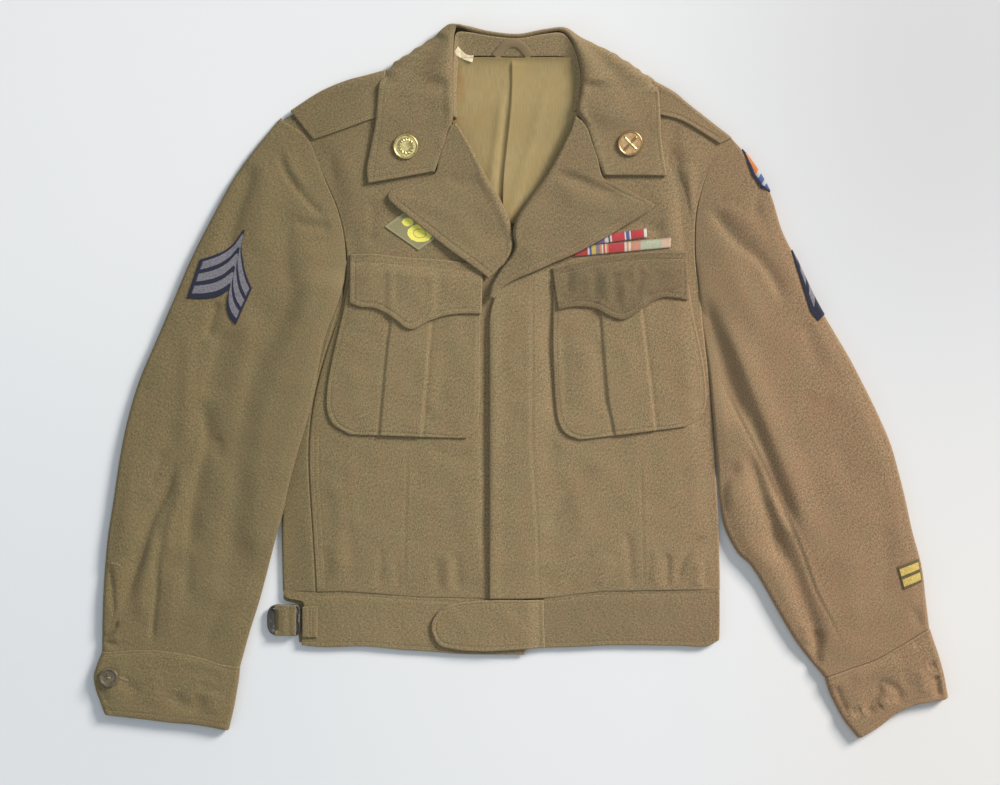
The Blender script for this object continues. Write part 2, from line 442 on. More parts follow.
RIGHT_CUFF_FOLDS = (
    (((119, 678), (130, 686), (140, 694)), 6, -1.0, 0),
    (((172, 690), (180, 702), (196, 706), (200, 692)), 7, -1.5, 0),
    (((178, 668), (200, 672), (224, 678)), 5, -0.5, 0),
    (((196, 682), (212, 690), (226, 694)), 5, -0.5, 0),
    (((150, 668), (156, 690), (152, 708)), 9, 0.8, 0), (((214, 690), (212, 715)), 8, 0.8, 0),
    (((99, 686), (106, 704)), 5, -1.0, 0),
)
LEFT_CUFF_FOLDS = (
    (((866, 716), (870, 704), (877, 694), (882, 684)), 5.5, -2.6, 0),
    (((872, 687), (884, 684), (898, 692), (897, 706)), 5, -1.7, 0),
    (((852, 714), (862, 710)), 4.5, -1.4, 0), (((834, 684), (840, 700), (847, 716)), 4.5, -1.6, 0),
    (((928, 668), (936, 664)), 4, -1.2, 0), (((935, 674), (937, 686), (938, 698)), 4.2, -2.4, 0),
    (((912, 646), (932, 636)), 5, -1.1, 0), (((848, 680), (874, 670), (904, 660)), 9, 1.0, 0),
    (((880, 706), (888, 700)), 4, 1.3, 0), (((903, 668), (908, 690)), 5, -0.7, 0),
    (((920, 668), (924, 695)), 5, 1.0, 0),
)
LEFT_FLAP_FOLDS = (
    (((572, 266), (566, 284), (560, 303)), 7, -1.3, 0), (((568, 272), (569, 295)), 4, -0.7, 0),
    (((600, 268), (597, 300)), 5, -0.6, 0), (((616, 270), (615, 290), (616, 306)), 4, -0.9, 0),
    (((641, 266), (640, 282), (634, 300)), 4, -0.9, 0), (((588, 272), (589, 300)), 5, 0.6, 0),
    (((606, 272), (606, 302)), 3.6, 0.6, 0), (((625, 280), (624, 312)), 4, 0.9, 0),
    (((634, 262), (633, 284)), 3.6, 0.6, 0), (((650, 268), (650, 296)), 4.5, 0.8, 0),
    (((670, 268), (668, 292)), 7, 0.5, 0),
)
RIGHT_FLAP_FOLDS = (
    (((396, 268), (396, 288), (398, 308)), 4, -0.6, 0), (((410, 272), (411, 300)), 6, 0.45, 0),
    (((428, 280), (424, 306)), 4, -0.45, 0), (((442, 270), (441, 296)), 4, -0.45, 0),
    (((452, 274), (466, 276)), 5, -0.4, 0), (((366, 272), (364, 298)), 8, 0.4, 0),
)
RIGHT_POCKET_FOLDS = (
    (((448, 338), (444, 370), (440, 415)), 8, -0.8, -0.2), (((425, 405), (432, 425)), 5, -0.5, 0),
    (((360, 330), (352, 380), (356, 420)), 10, 0.4, 0), (((408, 350), (404, 400)), 7, 0.35, 0),
)
LEFT_POCKET_FOLDS = (
    (((563, 320), (564, 370), (566, 420)), 6, -0.9, 0),
    (((586, 335), (584, 380), (588, 420)), 8, 0.5, 0),
    (((596, 330), (600, 370), (606, 420)), 5, -0.8, 0.3), (((650, 412), (656, 420)), 5, -0.5, 0),
    (((680, 330), (690, 370), (690, 400)), 9, 0.5, 0), (((626, 340), (632, 400)), 7, 0.35, 0),
)
LEFT_LAPEL_FOLDS = (
    (((553, 173), (570, 178), (588, 186), (606, 192), (624, 194)), 6, -2.0, 0.2),
    (((560, 196), (590, 206), (620, 208)), 8, 0.8, 0),
    (((565, 240), (600, 225), (640, 206)), 4, 0.5, 0),
    (((530, 262), (560, 252), (590, 236)), 6, -0.5, 0),
)
RIGHT_LAPEL_FOLDS = (
    (((446, 178), (462, 184), (478, 178)), 6, -0.9, 0),
    (((430, 205), (460, 225), (480, 250)), 9, 0.5, 0),
    (((400, 192), (424, 196)), 5, -0.4, 0),
)
COLLAR_FOLDS = (
    (((441, 104), (446, 120), (440, 140)), 6, -0.7, 0), (((400, 70), (412, 90)), 8, -0.5, 0),
    (((600, 66), (612, 96), (606, 130)), 9, 0.5, 0), (((640, 150), (655, 130)), 6, -0.4, 0),
)

# ---------------------------------------------------------------- stitched lines
# per piece, the plan paths of its visible machine stitching

STITCHED = {
    "front_right": (
        ((313.6, 436), (313.2, 466), (314.6, 497), (316.6, 529), (318.4, 561), (320, 590)),
        ((318.4, 436), (318, 466), (319.4, 497), (321.4, 529), (323.2, 561), (324.6, 590)),
    ),
    "front_left": (
        ((532, 282), (532, 360), (532, 440), (534, 482), (537.5, 540), (539, 597)),
    ),
    "collar": (
        ((372, 180), (374, 165), (377, 145), (381, 118), (383, 95), (387, 77)),
        ((371.5, 178.5), (385, 176.8), (400, 173.8), (420, 170.5), (432, 168)),
        ((654, 92), (655, 112), (656, 135), (659, 158), (662, 171.5)),
        ((662, 171.8), (650, 174), (634, 174.2), (620, 174), (606, 172.5)),
    ),
    "lapel_right": (
        ((434, 179.5), (416, 186.5), (404, 191), (395.5, 194.5), (395, 198), (400, 203), (411, 211.5),
         (428, 225), (443, 237), (463, 252), (482, 266), (492, 274)),
    ),
    "lapel_left": (
        ((605, 184), (620, 192), (637, 200.5), (645, 204.5), (644.5, 208), (636, 212.5), (618, 223),
         (598, 234.5), (578, 246), (560, 254.5), (545, 261), (530, 267.5), (514, 275)),
    ),
    "sleeve_right": (
        ((110, 592), (113.5, 604), (112.5, 616), (109, 628)),
    ),
    "cuff_right": (
        ((104, 655.5), (155, 653.5), (180, 656.5), (200, 661), (220, 667.5), (237, 672)),
        ((105, 710.5), (140, 713.5), (165, 716.5), (203, 720.5), (227, 725)),
    ),
    "cuff_left": (
        ((828, 683), (852, 673.5), (876, 664.5), (901, 650.5), (930, 634)),
        ((857, 734), (878, 721.5), (895, 708.5), (914, 700.3), (930, 697.3), (946, 694.5)),
    ),
    "pocket_right": (
        ((350, 300), (345.5, 316), (340, 340), (334.5, 365), (330.5, 390), (330.5, 409), (335.5, 421),
         (351, 431), (380, 432.3), (400, 433), (430, 434.5), (464, 434.5), (474, 426), (476, 411),
         (477, 366), (478, 316)),
    ),
    "pocket_left": (
        ((556.5, 312), (556, 350), (557.5, 378), (559, 403), (562, 420), (568, 431), (581, 436.2),
         (610, 432.5), (650, 427.5), (684, 423), (696, 415.5), (702, 405.5), (703, 389), (700.5, 369),
         (696.5, 346), (690, 318)),
    ),
    "pocket_flap_right": (
        ((352, 263), (375, 263.2), (400, 265.6), (430, 267.7), (466, 271.6), (481, 273.5)),
        ((354.5, 299), (362, 302.5), (377, 304), (393, 312.5), (410, 323.6), (429, 315.8), (445, 311),
         (460, 309), (478, 309)),
        ((354.5, 262), (354.5, 280), (354.5, 299)),
    ),
    "pocket_flap_left": (
        ((554, 275.5), (575, 271), (600, 265), (640, 260.8), (686, 259.5)),
        ((562, 305), (576, 302), (596, 304), (612, 311.8), (622, 315), (631, 311.3), (642, 302.5),
         (658, 293.8), (683, 294.5)),
        ((683.5, 260), (683.5, 276), (683.5, 294)),
    ),
    "shoulder_strap_right": (
        ((371, 116), (350, 123), (330, 130), (316, 134.5)),
    ),
    "shoulder_strap_left": (
        ((664, 113), (675, 114.5), (690, 121), (705, 129.5), (718, 136.5)),
    ),
    "waistband_right": (
        ((318.5, 597.2), (350, 596.2), (385, 598.5), (410, 600.5), (430, 601.5), (460, 602.5),
         (486, 603)),
        ((304, 642.5), (316, 643.3), (370, 643.3), (400, 646.2), (430, 648.2), (455, 650.3),
         (522, 651.2)),
    ),
    "waistband_left": (
        ((545, 602), (570, 600), (585, 597), (600, 596), (640, 595), (716, 594)),
        ((547.5, 644.3), (580, 643.3), (610, 641.8), (640, 641.8), (680, 642.3), (709, 641.6),
         (715.5, 638.5)),
    ),
    "waist_tab": (
        ((538.5, 603.6), (515, 603.8), (487, 603.8), (461, 606.5), (449.5, 609.2), (441.3, 614.4),
         (435.8, 623), (435.3, 630.5), (441.5, 641.8), (456.5, 645.8), (481, 647.8), (514, 646.4),
         (538.5, 644.8)),
        ((538.5, 603.6), (538.8, 624), (539, 644.8)),
    ),
    "buckle_keeper": (
        ((308.5, 608.5), (308.5, 622), (308.5, 635.5)),
        ((311.5, 608.5), (311.5, 622), (311.5, 635.5)),
    ),
}
STITCH_GROUPS = {
    "stitching_fronts": ("front_right", "front_left"),
    "stitching_collar": ("collar", "lapel_right", "lapel_left"),
    "stitching_pockets": ("pocket_right", "pocket_left", "pocket_flap_right", "pocket_flap_left"),
    "stitching_sleeves": ("sleeve_right", "cuff_right", "cuff_left", "shoulder_strap_right",
                          "shoulder_strap_left"),
    "stitching_waist": ("waistband_right", "waistband_left", "waist_tab", "buckle_keeper"),
}
BAR_TACK = ((111.5, 562.3), (120.5, 564.3)), ((111.5, 563.3), (120.5, 565.3))
BUTTONHOLE = (((119.5, 676.2), (128.5, 680.0)), ((119.0, 677.4), (128.0, 681.2)),
              ((174.6, 688.4), (178.2, 690.4)))

# ---------------------------------------------------------------- lines and fields


def ramp(value):
    """Smooth step from 0 to 1."""
    v = np.clip(value, 0.0, 1.0)
    return v * v * (3.0 - 2.0 * v)


def level(table, at):
    """Value of a two-column table at a station."""
    columns = np.array(table, float).T
    return np.interp(at, columns[0], columns[1])


def through(rows, knots, at):
    """Cubic through rows of numbers that stand at the knots, with their mean slopes."""
    rows, knots = np.asarray(rows, float), np.asarray(knots, float)
    slope = np.gradient(rows, knots, axis=0)
    k = np.clip(np.searchsorted(knots, at, "right") - 1, 0, len(knots) - 2)
    span = (knots[k + 1] - knots[k])[:, None]
    t = (np.asarray(at) - knots[k])[:, None] / span
    return ((2 * t**3 - 3 * t**2 + 1) * rows[k] + (t**3 - 2 * t**2 + t) * slope[k] * span
            + (3 * t**2 - 2 * t**3) * rows[k + 1] + (t**3 - t**2) * slope[k + 1] * span)


def curve(points, count, trim=0.0):
    """Evenly spaced points on a smooth line through the named ones, short of both ends."""
    p = np.asarray(points, float)
    knots = np.concatenate([[0.0], np.cumsum(np.linalg.norm(np.diff(p, axis=0), axis=1))])
    return through(p, knots, np.linspace(trim, knots[-1] - trim, count))


def fill(rows, stations):
    """A section table at stations from 0 to 1 along it."""
    rows = np.asarray(rows, float)
    return through(rows, np.arange(len(rows)), np.asarray(stations) * (len(rows) - 1))


def ruled(first, last, count, edge=0.0):
    """Straight sections between two lines of points, kept an edge's width inside both."""
    length = np.linalg.norm(last - first, axis=-1)[:, None]
    share = np.minimum(edge / np.maximum(length, 1e-6), 0.4)
    t = share + (1 - 2 * share) * np.linspace(0.0, 1.0, count)[None, :]
    return first[:, None, :] + (last - first)[:, None, :] * t[..., None]


def bowed(plan, head=None, tail=None, reach=0.35):
    """Bend the first and last sections onto curved seams, fading along the panel."""
    rows, cols = plan.shape[:2]
    along = np.linspace(0.0, 1.0, rows)[:, None, None]
    out = plan.copy()
    if head is not None:
        out += ramp(1 - along / reach) * (curve(head, cols) - plan[0])[None]
    if tail is not None:
        out += ramp(1 - (1 - along) / reach) * (curve(tail, cols) - plan[-1])[None]
    return out


def from_path(points, x, y, count=22):
    """Signed distance to the left of a smooth path, and the share of the way along it."""
    line = curve(points, count)
    start, step = line[:-1], np.diff(line, axis=0)
    px, py = x[:, None] - start[:, 0], y[:, None] - start[:, 1]
    t = np.clip((px * step[:, 0] + py * step[:, 1]) / (step**2).sum(axis=1), 0.0, 1.0)
    qx, qy = px - t * step[:, 0], py - t * step[:, 1]
    square = qx * qx + qy * qy
    k = np.argmin(square, axis=1)
    row = np.arange(len(x))
    side = np.sign(step[k, 0] * qy[row, k] - step[k, 1] * qx[row, k])
    return side * np.sqrt(square[row, k]), (k + t[row, k]) / (count - 1)


def folds(table, x, y, strength=1.0):
    """Sum of soft ridges and troughs: a bell across each path that fades at both ends."""
    total = np.zeros(x.shape)
    for points, width, height, lean in table:
        p = np.array(points, float)
        reach = 2.8 * width * (1 + abs(lean))
        near = ((x > p[:, 0].min() - reach) & (x < p[:, 0].max() + reach)
                & (y > p[:, 1].min() - reach) & (y < p[:, 1].max() + reach))
        if not near.any():
            continue
        away, share = from_path(points, x[near], y[near])
        span = width * (1 + lean * np.sign(away))
        ends = ramp(share / 0.22) * ramp((1 - share) / 0.22)
        total[near] += height * ends * np.exp(-(away / span) ** 2)
    return total * strength * sizes().folds


def rumple(x, y, seed, size=46.0, height=0.22):
    """Slow unevenness of laid cloth: ten crossed waves of unlike length and direction."""
    r = np.random.default_rng(seed)
    total = np.zeros(x.shape)
    for _ in range(10):
        turn, length, phase = r.uniform(0, math.pi), size * r.uniform(0.5, 1.7), r.uniform(0, 6.3)
        along = (x * math.cos(turn) + y * math.sin(turn)) * 2 * math.pi / length
        cross = (y * math.cos(turn) - x * math.sin(turn)) * 2 * math.pi / (2.3 * length)
        total += np.sin(along + phase) * np.cos(cross + 2 * phase)
    return height * total / 2.2


def lift(x, y):
    """Rise of the neck where the collar is folded behind it."""
    return LIFT * ramp((152 - y) / 54) * ramp((207 - np.abs(x - 519)) / 62)


def above(value, floor, soft=0.5):
    """The larger of two heights, rounded where they cross."""
    gap = value - floor
    return floor + 0.5 * (gap + np.sqrt(gap * gap + soft * soft))


def front_top(x, y):
    """Upper face of the fronts, before one laps over the other."""
    edge = ramp((x - level(RIGHT_EDGE, y) - 1) / 30) * ramp((level(LEFT_EDGE, y) - x - 1) / 26)
    shoulder = ramp((y - level(SHOULDER, x) - 2) / 50)
    waist = 1 - 0.5 * ramp((y - 560) / 34)
    border = ramp((x - level(RIGHT_EDGE, y)) / 8) * ramp((level(LEFT_EDGE, y) - x) / 8)
    rise = (PUFF * edge * shoulder * waist + rumple(x, y, 3) * edge
            + folds(FRONT_FOLDS, x, y, 1.35) * border)
    return lift(x, y) + 2 * CLOTH + SETTLE + above(rise, 0.0) - 0.2


def lapped_top(x, y):
    """Upper face of the wearer's left front, with its rolled edge over the right one."""
    roll = 1.5 * np.exp(-((x - 492) / 8) ** 2) * ramp((y - 278) / 14)
    return front_top(x, y) + (LAP + roll) * ramp((558 - x) / 34) * ramp((y - 180) / 40)


def with_height(plan, height):
    """Plan points given a height that is a number or an array."""
    z = np.broadcast_to(np.asarray(height, float), plan.shape[:-1])
    return np.concatenate([plan, z[..., None]], axis=-1)


def unit(vectors):
    """Vectors at length one."""
    return vectors / np.maximum(np.linalg.norm(vectors, axis=-1, keepdims=True), 1e-9)


def normals(grid):
    """Unit normals of a grid, by its neighbours."""
    return unit(np.cross(np.gradient(grid, axis=1), np.gradient(grid, axis=0)))


def thickened(outer, wall, upward_at):
    """The inner face a wall's thickness behind an outer one; the normal there points up."""
    n = normals(outer)
    return outer - (n if n[upward_at][2] > 0 else -n) * wall


def pressed(grid, paths, depth=0.38, width=1.0, puff=0.1):
    """A grid sunk along stitched paths, with a slight rise beside each of them."""
    out = grid.copy()
    x, y = grid[..., 0].ravel(), grid[..., 1].ravel()
    for path in paths:
        p = np.array(path, float)
        near = ((x > p[:, 0].min() - 8) & (x < p[:, 0].max() + 8)
                & (y > p[:, 1].min() - 8) & (y < p[:, 1].max() + 8))
        away, share = from_path(path, x[near], y[near], 40)
        inside = ((share > 0.0005) & (share < 0.9995)) | (np.abs(away) < 1.0)
        sink = (puff * np.exp(-((np.abs(away) - 2.6) / 1.5) ** 2)
                - depth * np.exp(-(away / width) ** 2))
        z = out[..., 2].ravel()
        z[near] += sink * inside
        out[..., 2] = z.reshape(out.shape[:2])
    return out


# ---------------------------------------------------------------- meshes

# each finished piece's upper face, for what lies on it, and each tube's whole rings
SURFACES, RINGS = {}, {}


def in_frame(points):
    """Plan millimetres to metres in the part's frame."""
    p = np.asarray(points, float).reshape(-1, 3)
    return np.stack([p[:, 0] - PLAN_CENTRE[0], PLAN_CENTRE[1] - p[:, 1], p[:, 2]], axis=1) * MM


def build(name, points, quads, polygons=(), uv=None, wear=None, material=None, girth=0.0):
    """One named mesh from plan points, four-cornered faces and a few larger ones.

    Unused points are left out, and the faces are turned outward if their volume is negative. On a
    tube, cloth coordinates that fall back past its end go on by its girth.
    """
    quads = np.asarray(quads, int).reshape(-1, 4)
    loops = np.concatenate([quads.ravel(), *[np.asarray(p, int) for p in polygons]])
    counts = np.concatenate([np.full(len(quads), 4), [len(p) for p in polygons]]).astype(int)
    used, loops = np.unique(loops, return_inverse=True)
    placed = in_frame(points)[used]
    mesh = bpy.data.meshes.new(name)
    mesh.vertices.add(len(placed))
    mesh.vertices.foreach_set("co", placed.astype(np.float32).ravel())
    mesh.loops.add(len(loops))
    mesh.loops.foreach_set("vertex_index", loops.astype(np.int32).ravel())
    mesh.polygons.add(len(counts))
    starts = np.concatenate([[0], np.cumsum(counts)[:-1]])
    mesh.polygons.foreach_set("loop_start", starts.astype(np.int32))
    mesh.update(calc_edges=True)
    if uv is not None:
        cloth = np.asarray(uv, float).reshape(-1, 2)[used][loops.ravel()]
        if girth:
            most = np.maximum.reduceat(cloth[:, 0], starts)
            cloth[:, 0] += girth * (np.repeat(most, counts) - cloth[:, 0] > girth / 2)
        mesh.uv_layers.new(name="cloth").data.foreach_set("uv", cloth.astype(np.float32).ravel())
    if wear is not None:
        mark = mesh.attributes.new("wear", "FLOAT", "POINT")
        mark.data.foreach_set("value", np.asarray(wear, np.float32).ravel()[used])
    mesh.calc_loop_triangles()
    corners = np.zeros(len(mesh.loop_triangles) * 3, np.int32)
    mesh.loop_triangles.foreach_get("vertices", corners)
    a, b, c = (placed[corners.reshape(-1, 3)[:, k]] for k in range(3))
    if np.sum(a * np.cross(b, c)) < 0:
        mesh.flip_normals()
    mesh.shade_smooth()
    piece = bpy.data.objects.new(name, mesh)
    bpy.context.scene.collection.objects.link(piece)
    if material is not None:
        mesh.materials.append(material)
    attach(piece, "root")
    return piece


def grid_quads(index, ring=False):
    """Corner numbers of a grid's cells; a ring's last column meets its first."""
    if ring:
        index = np.concatenate([index, index[:, :1]], axis=1)
    corners = index[:-1, :-1], index[:-1, 1:], index[1:, 1:], index[1:, :-1]
    return np.stack(corners, axis=-1).reshape(-1, 4)


def coarse_cells(rows, cols, step, ring):
    """Cells of a thinned grid that keep every point of the grid's own border."""
    r = np.unique(np.append(np.arange(0, rows, step), rows - 1))
    c = np.unique(np.append(np.arange(0, cols, step), cols if ring else cols - 1))
    cells = []
    for r0, r1 in zip(r[:-1], r[1:]):
        for c0, c1 in zip(c[:-1], c[1:]):
            head = range(c0, c1) if r0 == 0 else (c0,)
            right = range(r0, r1) if c1 == cols - 1 and not ring else (r0,)
            tail = range(c1, c0, -1) if r1 == rows - 1 else (c1,)
            left = range(r1, r0, -1) if c0 == 0 and not ring else (r1,)
            corners = ([(r0, k) for k in head] + [(k, c1) for k in right]
                       + [(r1, k) for k in tail] + [(k, c0) for k in left])
            cells.append([a * cols + b % cols for a, b in corners])
    return cells


def border_loops(rows, cols, ring):
    """Grid numbers round the border, with each point's neighbour inside along both ways."""
    index = np.arange(rows * cols).reshape(rows, cols)
    if ring:
        return [(index[0], index[1], index[1]), (index[-1][::-1], index[-2][::-1], index[-2][::-1])]
    loop = np.concatenate([index[0, :-1], index[:-1, -1], index[-1, :0:-1], index[:0:-1, 0]])
    r, c = loop // cols, loop % cols
    down = np.clip(r, 1, rows - 2) * cols + c
    across = r * cols + np.clip(c, 1, cols - 2)
    return [(loop, down, across)]


def shell(name, top, bottom, uv, material, slot, ring=False, edge=1.0, coarse=5, bends=3):
    """A closed cloth wall between two grids, with a round edge that stands out by `edge`.

    The edge is a half ellipse from the upper border over the middle to the lower one. The
    hidden face is thinned to every `coarse`-th row and column.
    """
    rows, cols = top.shape[:2]
    size = rows * cols
    upper, lower = top.reshape(-1, 3), bottom.reshape(-1, 3)
    flat = np.asarray(uv, float).reshape(-1, 2)
    points, cloths = [upper, lower], [flat, flat]
    index = np.arange(size).reshape(rows, cols)
    quads = [grid_quads(index, ring)]
    total = 2 * size
    for loop, down, across in border_loops(rows, cols, ring):
        out = unit(upper[loop] - upper[down])
        side = unit(upper[loop] - upper[across])
        out = np.where((down == loop)[:, None], side, out)
        out = np.where(((down != loop) & (across != loop))[:, None] & (not ring), out + side, out)
        spread = unit(flat[loop] - flat[np.where(down == loop, across, down)])
        middle, half = (upper[loop] + lower[loop]) / 2, (upper[loop] - lower[loop]) / 2
        before = loop
        for k, angle in enumerate(np.linspace(math.pi / 2, -math.pi / 2, bends + 2)[1:]):
            if k == bends:
                now = loop + size
            else:
                points.append(middle + half * math.sin(angle) + out * edge * math.cos(angle))
                cloths.append(flat[loop] + spread * MM * (math.pi / 2 - angle) * 1.1)
                now = total + np.arange(len(loop))
                total += len(loop)
            quads.append(np.stack([np.roll(before, -1), before, now, np.roll(now, -1)], axis=1))
            before = now
    cells = [[size + k for k in reversed(cell)] for cell in coarse_cells(rows, cols, coarse, ring)]
    wear = np.zeros(total)
    wear[2 * size:] = 1.0
    for loop, _, _ in border_loops(rows, cols, ring):
        wear[loop] = 0.7
    girth = girths(top)[1].mean() * MM if ring else 0.0
    piece = build(name, np.concatenate(points), np.concatenate(quads), cells, np.concatenate(cloths),
                  wear, material, girth)
    SURFACES[name] = top
    if ring:
        SURFACES[name], RINGS[name] = top[:, SEEN], top
    return piece


def plan_uv(grid, turn=0.0):
    """Cloth coordinates in metres of a flat-laid grid, its grain turned by an angle."""
    x, y = grid[..., 0] * MM, grid[..., 1] * MM
    c, s = math.cos(turn), math.sin(turn)
    return np.stack([x * c + y * s, y * c - x * s], axis=-1)


def arc_uv(grid):
    """Cloth coordinates in metres by the length along a grid's rows and columns."""
    across = np.linalg.norm(np.diff(grid, axis=1), axis=2)
    along = np.linalg.norm(np.diff(grid, axis=0), axis=2)
    u = np.concatenate([np.zeros((grid.shape[0], 1)), np.cumsum(across, axis=1)], axis=1)
    v = np.concatenate([np.zeros((1, grid.shape[1])), np.cumsum(along, axis=0)], axis=0)
    v = np.broadcast_to(v.mean(axis=1, keepdims=True), u.shape)
    return np.stack([u, v], axis=-1) * MM


def cloth_cut(piece, width, length, held="laid", rests=()):
    """Declare a piece's cut: its flat width and length in metres and the area that it covers.

    The area is half of the closed wall's whole surface.
    """
    area = 0.5 * sum(face.area for face in piece.data.polygons)
    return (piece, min(area, width * length))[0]


def height_on(name, x, y, cell=1.0, finer=4):
    """Height of a piece's upper face at plan points.

    The face's grid is filled in finer, its heights are averaged in square cells, and the cells
    round each point are blended by their nearness.
    """
    grid = SURFACES[name]
    key = name + ".field"
    if key not in SURFACES:
        part = (np.arange(finer) + 0.5) / finer
        s, t = (share.ravel()[:, None, None, None] for share in np.meshgrid(part, part))
        fine = (grid[None, :-1, :-1] * (1 - s) * (1 - t) + grid[None, :-1, 1:] * s * (1 - t)
                + grid[None, 1:, :-1] * (1 - s) * t + grid[None, 1:, 1:] * s * t).reshape(-1, 3)
        low = np.floor(fine[:, :2].min(axis=0)) - 2
        size = (np.ceil(fine[:, :2].max(axis=0) - low) / cell).astype(int) + 4
        place = ((fine[:, :2] - low) / cell).astype(int)
        flat = place[:, 0] * size[1] + place[:, 1]
        count = np.bincount(flat, minlength=size[0] * size[1])
        total = np.bincount(flat, fine[:, 2], minlength=size[0] * size[1])
        SURFACES[key] = (low, total.reshape(size), count.reshape(size))
    low, total, count = SURFACES[key]
    u, v = (x - low[0]) / cell - 0.5, (y - low[1]) / cell - 0.5
    i = np.clip(u.astype(int), 0, total.shape[0] - 2)
    j = np.clip(v.astype(int), 0, total.shape[1] - 2)
    a, b = u - i, v - j
    top, share = np.zeros(x.shape), np.zeros(x.shape)
    for di, dj, w in ((0, 0, (1 - a) * (1 - b)), (1, 0, a * (1 - b)),
                      (0, 1, (1 - a) * b), (1, 1, a * b)):
        n = count[i + di, j + dj]
        w = np.abs(w) * (n > 0) + 1e-9 * (n > 0)
        top += w * total[i + di, j + dj] / np.maximum(n, 1)
        share += w
    return top / np.maximum(share, 1e-9)


# ---------------------------------------------------------------- shapes of the pieces


def seam_line(x_from, x_to, raised):
    """Points on the waist seam between two stations, moved up the body."""
    stations = np.linspace(x_from, x_to, 9)
    return np.stack([stations, level(WAIST_SEAM, stations) - raised], axis=1)


def panel(table, spacing, edge=1.0, head=None, tail=None, reach=0.22):
    """Plan grid of a panel: straight sections between its two sides.

    The sides run through the table's rows, and the end sections bend onto the seams there.
    """
    t = np.asarray(table, float)
    middle = (t[:, 0:2] + t[:, 2:4]) / 2
    length = np.linalg.norm(np.diff(middle, axis=0), axis=1).sum()
    width = np.linalg.norm(t[:, 2:4] - t[:, 0:2], axis=1).max()
    rows, cols = int(length / spacing) + 3, int(width / spacing) + 3
    sides = fill(t, np.linspace(edge / length, 1 - edge / length, rows))
    return bowed(ruled(sides[:, 0:2], sides[:, 2:4], cols, edge), head, tail, reach)


def between(first, last, spacing, edge=1.0):
    """Plan grid between two smooth edges, each section straight from one to the other."""
    a, b = np.asarray(first, float), np.asarray(last, float)
    length = max(np.linalg.norm(np.diff(a, axis=0), axis=1).sum(),
                 np.linalg.norm(np.diff(b, axis=0), axis=1).sum())
    width = np.linalg.norm(b[len(b) // 2] - a[len(a) // 2])
    rows, cols = int(length / spacing) + 3, int(width / spacing) + 3
    return ruled(curve(a, rows, edge), curve(b, rows, edge), max(cols, 5), edge)


def laid(plan, height_of, gap=0.0):
    """Plan points at a gap above the heights that a function gives there."""
    return with_height(plan, height_of(plan[..., 0], plan[..., 1]) + gap)


def layer(plan, height_of, gap, thick):
    """Upper and lower grids of a cloth that follows a height function at a gap."""
    low = laid(plan, height_of, gap)
    return raised_by(low, thick), low


def cornered(corners, rows, cols):
    """Plan grid between four corners: its sides run from the first to the second and opposite."""
    a, b, c, d = (np.array(p, float) for p in corners)
    return ruled(np.linspace(a, b, rows), np.linspace(d, c, rows), cols, 0.5)


def turned_relief(grid, table, seed, height):
    """Folds and unevenness of a turned cloth, by the square of how far it faces up."""
    x, y = grid[..., 0], grid[..., 1]
    return (folds(table, x, y) + rumple(x, y, seed, 40.0, height)) * np.abs(normals(grid)[..., 2]) ** 2


def raised_by(grid, amount):
    """A grid moved up by an amount."""
    out = grid.copy()
    out[..., 2] += amount
    return out


def back_grids(rows=210, flat_columns=46, turn_columns=9, strip_columns=28):
    """Outer and inner faces of the back.

    Each section runs flat along the floor, turns through half a circle at the fold on the
    wearer's right, and comes forward to the side seam, where it follows the fronts' heights.
    """
    middle = CLOTH + SETTLE / 2
    table = fill(BACK, np.linspace(0.002, 0.998, rows))
    x0, y0, x1, y1, width, turn = (table[:, k:k + 1] for k in range(6))
    turn, width = np.clip(turn, 0, 1), np.maximum(width, 0)
    bend = middle * turn
    s = np.linspace(0.004, 1, flat_columns)[None, :]
    x = x1 * (1 - s) + (x0 + bend) * s
    y = y1 * (1 - s) + y0 * s
    first = np.array([max(1.0 - k / 14.0, 0.0) for k in range(rows)])[:, None]
    neck = curve(BACK_NECK, flat_columns)[::-1]
    x, y = x + first**1.5 * (neck[:, 0] - x[0]), y + first**1.5 * (neck[:, 1] - y[0])
    last = first[::-1]
    y = y + last * (level(WAIST_SEAM, x) - 1.2 - y[-1])
    low = lift(x, y)
    base = low[:, -1:]
    faces = []
    for radius, rest in ((middle, low), (SETTLE / 2, low + CLOTH)):
        j = np.linspace(0, 1, turn_columns + 1)[None, 1:]
        angle, away = math.pi * turn * j, 1.0 * j * (1 - turn)
        round_x = x0 + bend - away - radius * np.sin(angle)
        round_z = base + middle - radius * np.cos(angle)
        k = np.linspace(0, 1, strip_columns + 1)[None, 1:]
        strip_x = (x0 + bend + (width + 3.0 * ramp(width / 8)) * k * turn
                   - 0.25 * (4 + 2 * k) * (1 - turn))
        strip_x = strip_x - radius * np.sin(math.pi * turn)
        strip_z = base + middle - radius * np.cos(math.pi * turn)
        strip_y = np.broadcast_to(y0, strip_x.shape)
        carried = (front_top(strip_x, strip_y) - 2 * CLOTH - SETTLE - base) * ramp((turn - 0.6) / 0.4)
        carried -= 1.5 * ramp((k * (width + 3.0) - width + 1.3) / 1.3) * ramp(width / 8)
        plan_x = np.concatenate([x, round_x, strip_x], axis=1)
        plan_y = np.concatenate([y, np.broadcast_to(y0, round_x.shape), strip_y], axis=1)
        height = np.concatenate([rest, round_z, strip_z + carried], axis=1)
        faces.append(np.stack([plan_x, plan_y, height], axis=-1))
    return faces


